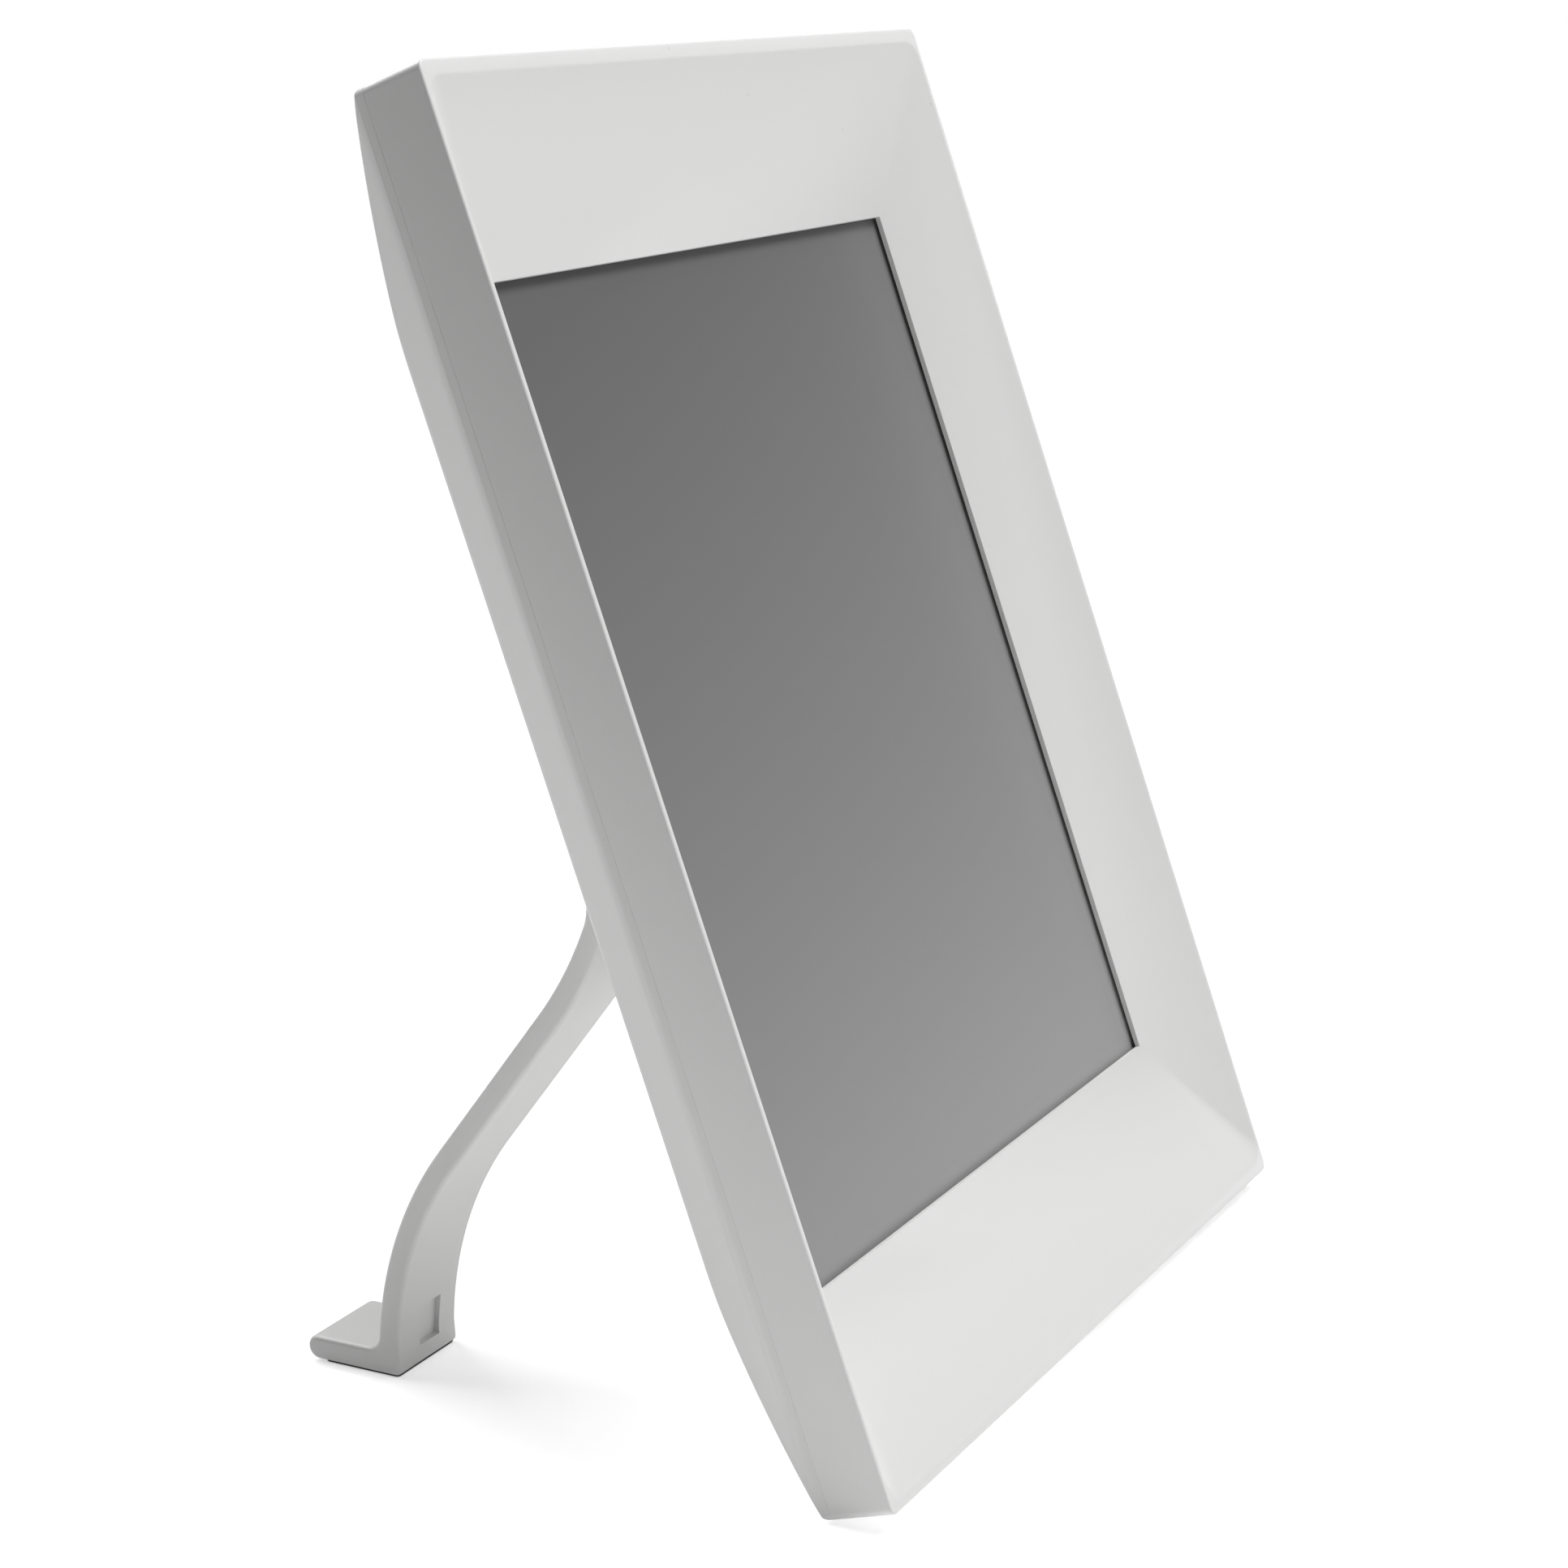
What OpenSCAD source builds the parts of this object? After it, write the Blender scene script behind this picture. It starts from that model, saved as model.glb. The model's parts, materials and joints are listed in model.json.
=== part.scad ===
// Digital picture frame with a deep sloping border and a curved rear stand.
// Every piece is drawn against the upright panel: X to the right, Y towards the back, Z up,
// from the middle of the front rim. lean_back() then tips it onto its stand.

/* [Frame] */
// Width of the frame
frame_w = 196; // [192:1:240]
// Height of the frame
frame_h = 294; // [284:1:360]
// Depth of the front shell, from the rim to the joint line
front_depth = 14.5; // [13.5:0.5:20]
// Depth of the plain band of the back cover, behind the joint line
band_depth = 4.3; // [2:0.1:8]
// Radius of the back cover's long side edges
side_round = 12; // [9:0.5:14]
// Length over which the back cover swells from its top and bottom ends
end_run = 75; // [50:1:90]
// Height that the back cover gains over that length
end_rise = 14.5; // [10:0.5:16]
// Radius of the frame's four corners
corner_r = 2; // [1:0.5:4]
// Wall thickness of both shells
wall = 2.2; // [1.6:0.1:3]
// How far the frame leans back
lean = 17; // [12:0.5:22]

/* [Border] */
// Width of the flat rim along the two sides
rim_side = 1.2; // [0.8:0.1:3]
// Width of the flat rim along the top and bottom
rim_end = 3.2; // [1:0.1:5]
// Width of the screen window
window_w = 159; // [120:1:180]
// Height of the screen window
window_h = 212; // [160:1:230]
// Depth of the screen window behind the rim
window_depth = 14; // [10:0.5:14]

/* [Screen] */
// Width of the display module
module_w = 184; // [170:1:186]
// Height of the display module
module_h = 240; // [222:1:250]
// Thickness of the display module
module_t = 5.5; // [4.5:0.1:6]
// Thickness of the foam gasket in front of it
gasket_t = 0.8; // [0.5:0.1:1.2]

/* [Stand] */
// Sideways place of the stand, from the middle of the frame
stand_x = -70; // [-78:1:-60]
// Width of the leg
leg_w = 22; // [16:1:26]
// Thickness of the leg
leg_t = 5.5; // [4:0.1:6.4]
// Radius of the bend where the leg leaves the hub
hub_bend_r = 15.5; // [12:0.5:20]
// Radius of the leg's upper curve
upper_bend_r = 92; // [60:1:120]
// Radius of the leg's lower curve
lower_bend_r = 91; // [60:1:110]
// Slope of the leg below the hub bend, down from square to the panel
upper_slope = 48.4; // [44:0.2:54]
// Slope of the leg's long middle stretch
middle_slope = 32.6; // [30:0.2:40]
// Slope of the leg just above the foot
foot_slope = 67.4; // [60:0.2:72]
// Length of the foot plate along the table
foot_len = 26; // [18:0.5:36]
// Thickness of the foot plate with its pad
foot_t = 6; // [4.5:0.1:8]
// Radius of the hub's turning shaft
hub_shaft_r = 13; // [10:0.5:14]

/* [Controls] */
// Radius of a push button's cap
button_r = 3.6; // [3:0.1:4.5]
// Distance between neighbouring buttons
button_pitch = 13; // [11:0.5:16]
// Travel of a push button
button_travel = 0.5; // [0.3:0.05:0.6]
// Travel of the power slider
slider_travel = 3; // [2:0.5:4]

/* [Hidden] */
$fn = 48;

// Clearances
run_gap = 0.05;      // radial play of a part that turns in another
slide_gap = 0.15;    // play round a button or slider
lay_gap = 0.1;       // between pieces that lie on each other
over = 1;            // how far a cutter reaches past what it cuts
screw_r = 1.5;       // shaft of every housing screw
head_r = 2.8;        // head of every housing screw
head_t = 1.8;        // height of those heads

// The back cover's outer form
back_y = front_depth + band_depth + side_round;
inside_y = back_y - wall;
end_r = (end_run * end_run + end_rise * end_rise) / (2 * end_rise);
crown = 0.02;        // the flat back cuts its curves this much short of tangent, for clean edges
tongue_t = 1;
tongue_len = 2;

// Where the leaning frame stands: on the lowest corner of the back cover's bottom end
rest_y = back_y - end_rise;
ground = -rest_y * sin(lean) - frame_h / 2 * cos(lean);
function height(p) = -p[0] * sin(lean) + p[1] * cos(lean);
function depth(p) = p[0] * cos(lean) + p[1] * sin(lean);

// Display stack
lip_t = 1.2;
border_t = 2.1;      // thickness of the sloping border, measured along the depth
border_slope_x = (frame_w / 2 - rim_side - window_w / 2) / window_depth;
border_slope_z = (frame_h / 2 - rim_end - window_h / 2) / window_depth;
boss_root = 0.8;     // how far a screw boss is sunk into the border's back
screw_floor = 0.6;   // plastic left between the border's back and the bottom of a screw hole
// Depth of the border's back behind a point [x, z].
function border_rear(p) = window_depth + border_t
    - max(0, (abs(p[0]) - window_w / 2) / border_slope_x, (abs(p[1]) - window_h / 2) / border_slope_z);
gasket_y = window_depth + lip_t;
display_y = gasket_y + gasket_t;
display_back = display_y + module_t;
glass_t = 1.1;

// Electronics, on one board behind the display
board_t = 1.2;
board_y = display_back + 1.5;
board_face = board_y + board_t;
board_x = [4, frame_w / 2 - 12];
board_z = [-72, 72];
port_x = frame_w / 2 - 3.2;
reader_z = -32;
usb_z = -53;
power_z = -64;

// Push buttons, in a column by the frame's right edge
button_x = 70;
button_top = 58;
button_names = ["menu", "back", "previous", "next", "enter"];
function button_z(i) = button_top - i * button_pitch;
switch_h = 2.6;
plunger_h = 0.5;
cap_proud = 1.1;
flange_t = 0.7;
slider_z = button_z(5) - 3;

// Hub
hub_top_r = 10.5;
hub_flange_r = 15.5;
hub_flange_t = 1.3;
tongue_w = 12;
retainer_r = 16.5;
retainer_t = 1.6;
hub_screw_x = 8;
leg_axis_y = back_y + lay_gap + hub_flange_t + leg_t / 2 + 0.4;
hub_y = leg_axis_y + 3.6;
screw_sink = 0.8;    // depth of the leg screw's seat in the hub

// Screws of the cover: three along the top and three along the bottom
cover_screw_at = [for (x = [-1, 0, 1], z = [-1, 1]) [x * (frame_w / 2 - 18), z * (frame_h / 2 - 13)]];
boss_y = front_depth + 1.2;
hanger_x = 38;
hanger_z = 56;
hanger_r = 4.2;
hanger_slot_r = 2.1;
hanger_run = 9;

// ---------- helpers ----------

// Moves a piece from the upright panel to the frame's leaning place on the table.
module lean_back() {
    front_reach = depth([0, -frame_h / 2]);
    rear_reach = depth(foot_tip());
    translate([0, -(front_reach + rear_reach) / 2, -ground])
        rotate([-lean, 0, 0])
            children();
}

// A box between two corners.
module bar(x, y, z) {
    translate([x[0], y[0], z[0]])
        cube([x[1] - x[0], y[1] - y[0], z[1] - z[0]]);
}

// A rod along Y, from one depth to another.
module rod_y(r, x, y, z) {
    translate([x, y[1], z])
        rotate([90, 0, 0])
            cylinder(r = r, h = y[1] - y[0]);
}

// A rectangle with rounded corners, flat.
module round_rect(w, h, r) {
    square([w - 2 * r, h], center = true);
    square([w, h - 2 * r], center = true);
    for (x = [-1, 1], z = [-1, 1])
        translate([x * (w / 2 - r), z * (h / 2 - r)])
            circle(r = r);
}

// The same rectangle as a plate that faces the front.
module plate(w, h, r, y, x = 0, z = 0) {
    translate([x, y[1], z])
        rotate([90, 0, 0])
            linear_extrude(y[1] - y[0])
                round_rect(w, h, r);
}

// A rectangle ring that faces the front.
module ring_plate(w, h, hole_w, hole_h, y) {
    difference() {
        plate(w, h, 1.5, y);
        bar([-hole_w / 2, hole_w / 2], [y[0] - over, y[1] + over], [-hole_h / 2, hole_h / 2]);
    }
}

// The funnel between the rim and the window, moved back by a given depth.
module funnel(y0, y1, back = 0) {
    function half_x(y) = window_w / 2 + border_slope_x * (window_depth + back - y);
    function half_z(y) = window_h / 2 + border_slope_z * (window_depth + back - y);
    intersection() {
        translate([0, 0, -frame_h])
            linear_extrude(2 * frame_h)
                polygon([
                    [-half_x(y0), y0], [half_x(y0), y0], [half_x(y1), y1], [-half_x(y1), y1]
                ]);
        rotate([90, 0, 90])
            translate([0, 0, -frame_w])
                linear_extrude(2 * frame_w)
                    polygon([
                        [y0, -half_z(y0)], [y0, half_z(y0)], [y1, half_z(y1)], [y1, -half_z(y1)]
                    ]);
    }
}

// The back cover's swelling form, moved inwards by an inset, from a given depth to its back.
module back_form(inset, y0) {
    top = back_y - inset;
    side_x = frame_w / 2 - side_round;
    side_y = back_y + crown - side_round;
    end_z = frame_h / 2 - end_run;
    difference() {
        plate(frame_w - 2 * inset, frame_h - 2 * inset, max(corner_r - inset, 0.4), [y0, top]);
        for (s = [-1, 1]) {
            difference() {
                translate([s * (side_x + side_round), (side_y + top + over) / 2, 0])
                    cube([2 * side_round, top + over - side_y, frame_h + over], center = true);
                translate([s * side_x, side_y, -frame_h])
                    cylinder(r = side_round - inset, h = 2 * frame_h, $fn = 96);
            }
            difference() {
                translate([0, (y0 + top + over) / 2, s * (end_z + end_run / 2 + over / 2)])
                    cube([frame_w + over, top + over - y0 + 2 * over, end_run + over], center = true);
                translate([-frame_w, back_y + crown - end_r, s * end_z])
                    rotate([0, 90, 0])
                        cylinder(r = end_r - inset, h = 2 * frame_w, $fn = 180);
            }
        }
    }
}

// How far sideways the inside of the back cover reaches at a given depth, less a clearance.
function cover_reach(y) =
    frame_w / 2 - side_round - slide_gap
    + sqrt(max(0, pow(side_round - wall, 2) - pow(y - back_y - crown + side_round, 2)));

// A pan-head screw that points to the front, with the top of its cross-slotted head at depth y.
module pan_screw(x, y, z, length, r = screw_r, head = head_r, head_h = head_t) {
    rod_y(r, x, [y - head_h - length, y - head_h + 0.2], z);
    difference() {
        rod_y(head, x, [y - head_h, y], z);
        for (a = [0, 90])
            translate([x, y, z])
                rotate([0, a, 0])
                    cube([head * 1.1, 1.2, 0.55], center = true);
    }
}

// ---------- the leg's curve ----------

// The curve is a chain of straights and arcs in the side plane, as [depth, height] pairs.
// slope is measured down from square to the panel: 90 runs straight down along it.
// side moves a point off the centre line, towards the back.
function arc_point(p, r, from, to, slope, side) =
    p + sign(to - from) * r * [sin(slope) - sin(from), cos(slope) - cos(from)]
    + side * [sin(slope), cos(slope)];
function arc_end(p, r, from, to) = arc_point(p, r, from, to, to, 0);
function step_to(p, slope, run) = [p[0] + cos(slope) * run, p[1] - sin(slope) * run];

hub_drop = 13.5;
ankle = 4.6;
leg_start = [leg_axis_y, 0];
leg_p1 = step_to(leg_start, 90, hub_drop);
leg_p2 = arc_end(leg_p1, hub_bend_r, 90, upper_slope);
leg_p3 = arc_end(leg_p2, upper_bend_r, upper_slope, middle_slope);
lower_arc = arc_end([0, 0], lower_bend_r, middle_slope, foot_slope);
ankle_run = step_to([0, 0], foot_slope, ankle);
sole_drop = height(leg_p3) + height(lower_arc) + height(ankle_run) - ground;
middle_run = sole_drop / sin(middle_slope + lean);
leg_p4 = step_to(leg_p3, middle_slope, middle_run);
leg_p5 = leg_p4 + lower_arc;
leg_p6 = leg_p5 + ankle_run;

arc_steps = 12;
function arc_points(p, r, from, to, side) =
    [for (i = [0 : arc_steps]) arc_point(p, r, from, to, from + (to - from) * i / arc_steps, side)];

function leg_side(side) = concat(
    [[leg_start[0] + side, leg_start[1]]],
    arc_points(leg_p1, hub_bend_r, 90, upper_slope, side),
    arc_points(leg_p2, upper_bend_r, upper_slope, middle_slope, side),
    arc_points(leg_p4, lower_bend_r, middle_slope, foot_slope, side),
    [leg_p6 + [sin(foot_slope), cos(foot_slope)] * side]
);

// The foot plate runs back along the table from the ankle.
pad_t = 1.2;
pad_sink = 0.8;
sole_clear = pad_t - pad_sink;
function on_table(run, rise) =
    leg_p6 + run * [cos(lean), sin(lean)] + rise * [-sin(lean), cos(lean)];
foot_front = -leg_t / 2 - 0.6;
toe_r = (foot_t - sole_clear) / 2;
function foot_tip() = on_table(foot_front + foot_len, 0);

function reversed(list) = [for (i = [len(list) - 1 : -1 : 0]) list[i]];

// ---------- housing ----------

module front_bezel() {
    color("white")
    lean_back() {
        difference() {
            union() {
                difference() {
                    plate(frame_w, frame_h, corner_r, [0, front_depth]);
                    plate(frame_w - 2 * wall, frame_h - 2 * wall, 0.4, [wall, front_depth + over]);
                }
                intersection() {
                    plate(frame_w, frame_h, corner_r, [0, window_depth + lip_t]);
                    funnel(0, window_depth + lip_t, border_t);
                    union() {
                        plate(frame_w, frame_h, corner_r, [0, front_depth - 1]);
                        bar([-frame_w / 2 + 8, frame_w / 2 - 8], [0, gasket_y],
                            [-frame_h / 2 + 8, frame_h / 2 - 8]);
                    }
                }
                for (p = cover_screw_at)
                    rod_y(3.4, p[0], [border_rear(p) - boss_root, boss_y], p[1]);
                for (x = [-1, 1], z = [-1, 1])
                    rod_y(3, x * bracket_x,
                        [border_rear([bracket_x, bracket_z]) - boss_root, ear_y], z * bracket_z);
            }
            funnel(-0.001, window_depth + lip_t + over);
            for (p = cover_screw_at)
                rod_y(screw_r, p[0], [border_rear(p) + screw_floor, boss_y + over], p[1]);
            for (x = [-1, 1], z = [-1, 1])
                rod_y(1, x * bracket_x,
                    [border_rear([bracket_x, bracket_z]) + screw_floor, ear_y + over], z * bracket_z);
        }
    }
}

module rear_cover() {
    color("white")
    lean_back() {
        difference() {
            union() {
                difference() {
                    union() {
                        back_form(0, front_depth);
                        plate(frame_w - 2 * wall - 2 * lay_gap, frame_h - 2 * wall - 2 * lay_gap, 0.4,
                            [front_depth - tongue_len, front_depth + over]);
                    }
                    plate(frame_w - 2 * wall - 2 * tongue_t, frame_h - 2 * wall - 2 * tongue_t, 0.4,
                        [front_depth - tongue_len - over, front_depth + 0.4]);
                    back_form(wall, front_depth + 0.3);
                }
                intersection() {
                    for (p = cover_screw_at)
                        rod_y(4.4, p[0], [boss_y + lay_gap, back_y], p[1]);
                    back_form(0.4, front_depth);
                }
                rod_y(hub_shaft_r + 3, stand_x, [inside_y - 1.2, inside_y + 0.5], 0);
                for (p = board_screw_at)
                    rod_y(3, p[0], [board_face, inside_y + 0.5], p[1]);
                for (x = [-1, 1])
                    rod_y(hanger_r + 2.4, x * hanger_x, [inside_y - 0.8, inside_y + 0.5], hanger_z);
            }
            for (p = cover_screw_at) {
                rod_y(screw_r + 0.25, p[0], [front_depth, back_y + over], p[1]);
                rod_y(head_r + 0.3, p[0], [boss_y + 2.6, back_y + over], p[1]);
            }
            for (p = board_screw_at)
                rod_y(1, p[0], [board_face - over, inside_y - 0.6], p[1]);
            rod_y(hub_shaft_r + run_gap, stand_x, [inside_y - 3, back_y + over], 0);
            for (i = [0 : len(button_names) - 1])
                rod_y(button_r + slide_gap, button_x, [inside_y - over, back_y + over], button_z(i));
            slider_slot();
            keyholes();
            vents();
            port_holes();
        }
    }
}

// The slot that the power slider runs in.
module slider_slot() {
    bar([button_x - 2.2, button_x + 2.2], [inside_y - over, back_y + over],
        [slider_z - 2.7 - slider_travel, slider_z + 2.7]);
}

// Two keyholes for hanging the frame on a wall.
module keyholes() {
    for (x = [-1, 1]) {
        rod_y(hanger_r, x * hanger_x, [inside_y - 2, back_y + over], hanger_z);
        rod_y(hanger_slot_r, x * hanger_x, [inside_y - 2, back_y + over], hanger_z + hanger_run);
        bar([x * hanger_x - hanger_slot_r, x * hanger_x + hanger_slot_r],
            [inside_y - 2, back_y + over], [hanger_z, hanger_z + hanger_run]);
    }
}

// Two rows of ventilation slots, below the hangers.
vent_count = 9;
vent_pitch = 5;
vent_len = 18;
vent_z = -30;
module vents() {
    for (i = [0 : vent_count - 1], x = [-1, 1])
        plate(1.6, vent_len, 0.75, [inside_y - over, back_y + over],
            (i - (vent_count - 1) / 2) * vent_pitch, x * (vent_len / 2 + 3) + vent_z);
}

// Openings for the card, the data plug and the power plug in the right-hand edge.
module port_holes() {
    bar([port_x - 6, frame_w / 2 + over], [board_face + 0.2, board_face + reader_h - 0.2],
        [reader_z - 12.4, reader_z + 12.4]);
    bar([port_x - 6, frame_w / 2 + over], [board_face + 0.2, board_face + usb_h - 0.2],
        [usb_z - 3.6, usb_z + 3.6]);
    translate([port_x - 8, board_face + power_h / 2, power_z])
        rotate([0, 90, 0])
            cylinder(r = 1.9, h = 14);
}

// ---------- display ----------

bracket_x = window_w / 2 - 10;
bracket_z = module_h / 2 + 5.5;
bracket_t = 0.8;
bracket_w = 10;
ear_y = display_back - 4;
gasket_w = 4;

module window_gasket() {
    color("black")
    lean_back()
        ring_plate(window_w + 2 * gasket_w + 4, window_h + 2 * gasket_w + 4, window_w + 4, window_h + 4,
            [gasket_y, display_y]);
}

module screen_glass() {
    color("dimgray")
    lean_back()
        plate(window_w + 2 * gasket_w + 6, window_h + 2 * gasket_w + 6, 0.5, [display_y, display_y + glass_t]);
}

module display_frame() {
    color("silver")
    lean_back()
        difference() {
            plate(module_w, module_h, 1, [display_y, display_back - 0.8]);
            plate(window_w + 2 * gasket_w + 6.2, window_h + 2 * gasket_w + 6.2, 0.5, [display_y - over, display_back]);
        }
}

module light_guide() {
    color("azure")
    lean_back()
        plate(window_w + 2 * gasket_w + 5, window_h + 2 * gasket_w, 0.5,
            [display_y + glass_t, display_back - 0.8], 0, 2.5);
}

module led_strip() {
    color("gold")
    lean_back() {
        low = -window_h / 2 - gasket_w - 2.6;
        bar([-window_w / 2, window_w / 2], [display_y + glass_t + 0.2, display_back - 1], [low, low + 1]);
        for (i = [-12 : 12])
            bar([i * 6 - 1.4, i * 6 + 1.4], [display_y + glass_t + 0.6, display_back - 1.4], [low + 1, low + 1.8]);
    }
}

module backlight_tray() {
    color("lightgray")
    lean_back()
        difference() {
            plate(module_w, module_h, 1, [display_back - 0.8, display_back]);
            for (x = [-1, 1])
                bar([x * 40 - 14, x * 40 + 14], [display_back - 0.3, display_back + over], [-90, 90]);
        }
}

// Each bracket holds the module down with one end and steps to a boss of the front shell.
module display_brackets() {
    color("gray")
    lean_back()
        for (x = [-1, 1], z = [-1, 1])
            difference() {
                translate([x * bracket_x - bracket_w / 2, 0, 0])
                    rotate([90, 0, 90])
                        linear_extrude(bracket_w)
                            bracket_side(z);
                rod_y(1.2, x * bracket_x, [ear_y - over, ear_y + 2], z * bracket_z);
            }
}

module bracket_side(z) {
    step_z = module_h / 2 + 0.4;
    polygon([
        [display_back, z * (step_z - 8)], [display_back, z * step_z],
        [ear_y, z * step_z], [ear_y, z * (step_z + 9)],
        [ear_y + bracket_t, z * (step_z + 9)], [ear_y + bracket_t, z * (step_z + bracket_t)],
        [display_back + bracket_t, z * (step_z + bracket_t)],
        [display_back + bracket_t, z * (step_z - 8)]
    ]);
}

module bracket_screws() {
    color("silver")
    lean_back()
        for (x = [-1, 1], z = [-1, 1])
            pan_screw(x * bracket_x, ear_y + bracket_t + 1, z * bracket_z, 5, 1, 1.9, 1);
}

// ---------- electronics ----------

board_screw_at = [
    [board_x[0] + 5, board_z[0] + 6], [board_x[1] - 26, board_z[0] + 5],
    [board_x[0] + 5, board_z[1] - 6], [board_x[1] - 6, board_z[1] - 6]
];

module main_board() {
    color("seagreen")
    lean_back()
        difference() {
            bar(board_x, [board_y, board_face], board_z);
            for (p = board_screw_at)
                rod_y(1.3, p[0], [board_y - over, board_face + over], p[1]);
        }
}

module processor() {
    color("darkslategray")
    lean_back()
        bar([24, 44], [board_face, board_face + 1.6], [-4, 16]);
}

module memory_chips() {
    color("black")
    lean_back()
        for (z = [24, 42])
            bar([22, 40], [board_face, board_face + 1.2], [z, z + 10]);
}

module cable_connector() {
    color("ivory")
    lean_back()
        bar([10, 15], [board_face, board_face + 2], [-12, 12]);
}

// A flat cable from the board's connector, over the board's edge, to the display's tray.
module screen_cable() {
    color("white")
    lean_back() {
        bar([1.6, 10], [board_face + 0.8, board_face + 1.1], [-10, 10]);
        bar([1.3, 1.6], [display_back, board_face + 1.1], [-10, 10]);
        bar([-12, 1.6], [display_back, display_back + 0.3], [-10, 10]);
    }
}

// The sockets stand on the board's outer edge, and reach as near the cover's curve as it allows.
reader_h = 3.1;
usb_h = 3.9;
power_h = 4.2;
shell_t = 0.3;

module card_reader() {
    color("silver")
    lean_back()
        difference() {
            bar([board_x[1] - 26, cover_reach(board_face + reader_h)],
                [board_face, board_face + reader_h], [reader_z - 13.2, reader_z + 13.2]);
            bar([board_x[1] - 24, frame_w / 2], [board_face + shell_t, board_face + reader_h - shell_t],
                [reader_z - 12.2, reader_z + 12.2]);
        }
}

module usb_socket() {
    color("silver")
    lean_back()
        difference() {
            bar([board_x[1] - 8, cover_reach(board_face + usb_h)],
                [board_face, board_face + usb_h], [usb_z - 3.8, usb_z + 3.8]);
            bar([board_x[1] - 7, frame_w / 2], [board_face + shell_t, board_face + usb_h - shell_t],
                [usb_z - 3.4, usb_z + 3.4]);
        }
}

module power_socket() {
    color("black")
    lean_back()
        difference() {
            bar([board_x[1] - 9, cover_reach(board_face + power_h)],
                [board_face, board_face + power_h], [power_z - 3, power_z + 3]);
            translate([board_x[1] - 7, board_face + power_h / 2, power_z])
                rotate([0, 90, 0])
                    cylinder(r = 1.7, h = 20);
        }
}

module push_switches() {
    color("black")
    lean_back()
        for (i = [0 : len(button_names) - 1]) {
            bar([button_x - 3, button_x + 3], [board_face, board_face + switch_h], [button_z(i) - 3, button_z(i) + 3]);
            rod_y(1.6, button_x, [board_face + switch_h, board_face + switch_h + plunger_h], button_z(i));
        }
}

// A cap that stands a little out of the back, with a flange that keeps it in.
module push_button(i) {
    flange_y = inside_y - lay_gap - flange_t;
    lean_back() {
        rod_y(button_r, button_x, [flange_y, back_y + cap_proud - 0.4], button_z(i));
        rod_y(button_r - 0.4, button_x, [back_y, back_y + cap_proud], button_z(i));
        rod_y(button_r + 1, button_x, [flange_y, flange_y + flange_t], button_z(i));
        rod_y(1.2, button_x,
            [board_face + switch_h + plunger_h + button_travel + 0.05, flange_y + 0.1], button_z(i));
    }
}

module menu_button() { color("white") push_button(0); }
module back_button() { color("white") push_button(1); }
module previous_button() { color("white") push_button(2); }
module next_button() { color("white") push_button(3); }
module enter_button() { color("white") push_button(4); }

module slide_switch() {
    color("dimgray")
    lean_back()
        difference() {
            bar([button_x - 3, button_x + 3], [board_face, board_face + 2.4],
                [slider_z - slider_travel - 3.4, slider_z + 3.4]);
            bar([button_x - 1.2, button_x + 1.2], [board_face + 0.8, board_face + 2.4 + over],
                [slider_z - slider_travel - 1.4, slider_z + 1.4]);
        }
}

module power_slider() {
    flange_y = inside_y - lay_gap - flange_t;
    color("white")
    lean_back() {
        plate(4.4 - 2 * slide_gap, 5.4 - 2 * slide_gap, 0.5, [flange_y, back_y + 0.9], button_x, slider_z);
        plate(6.4, 8.4 + slider_travel, 0.5, [flange_y, flange_y + flange_t], button_x, slider_z);
        bar([button_x - 0.9, button_x + 0.9], [board_face + 1.1, flange_y + 0.1], [slider_z - 1.1, slider_z + 1.1]);
        for (z = [-1.2, 0, 1.2])
            bar([button_x - 1.6, button_x + 1.6], [back_y + 0.8, back_y + 1.2], [slider_z + z - 0.25, slider_z + z + 0.25]);
    }
}

module board_screws() {
    color("silver")
    lean_back()
        for (p = board_screw_at) {
            rod_y(1, p[0], [board_y - 0.2, board_face + 3.6], p[1]);
            rod_y(2, p[0], [board_y - 1.1, board_y], p[1]);
        }
}

module cover_screws() {
    color("silver")
    lean_back()
        for (p = cover_screw_at)
            pan_screw(p[0], boss_y + 2.6 + head_t, p[1], 7.4);
}

// ---------- stand ----------

module stand_hub() {
    color("white")
    lean_back()
        difference() {
            union() {
                rod_y(hub_shaft_r, stand_x, [inside_y - 1.2 - lay_gap, back_y + lay_gap + 0.2], 0);
                rod_y(hub_flange_r, stand_x, [back_y + lay_gap, back_y + lay_gap + hub_flange_t], 0);
                rod_y(hub_top_r, stand_x, [back_y + lay_gap, hub_y - 0.8], 0);
                rod_y(hub_top_r - 0.8, stand_x, [back_y + lay_gap, hub_y], 0);
            }
            // the socket that the leg's tongue is pushed into, from below
            bar([stand_x - tongue_w / 2 - lay_gap, stand_x + tongue_w / 2 + lay_gap],
                [leg_axis_y - 2 - lay_gap, leg_axis_y + 2 + lay_gap], [-hub_flange_r, 7 + lay_gap]);
            // room for the leg's full width in front of the flange
            bar([stand_x - leg_w, stand_x + leg_w],
                [leg_axis_y - leg_t / 2 - 0.3, hub_y + over], [-hub_flange_r - over, -hub_drop + 6]);
            for (x = [-1, 1])
                rod_y(1, stand_x + x * hub_screw_x, [inside_y - 2, back_y + 0.9], 0);
            rod_y(1.05, stand_x, [leg_axis_y, hub_y + over], 2);
            rod_y(2.2, stand_x, [hub_y - screw_sink, hub_y + over], 2);
            translate([stand_x, inside_y - 2, 0])
                rotate([-90, 0, 0])
                    cylinder(r = 5, h = 3);
        }
}

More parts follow.
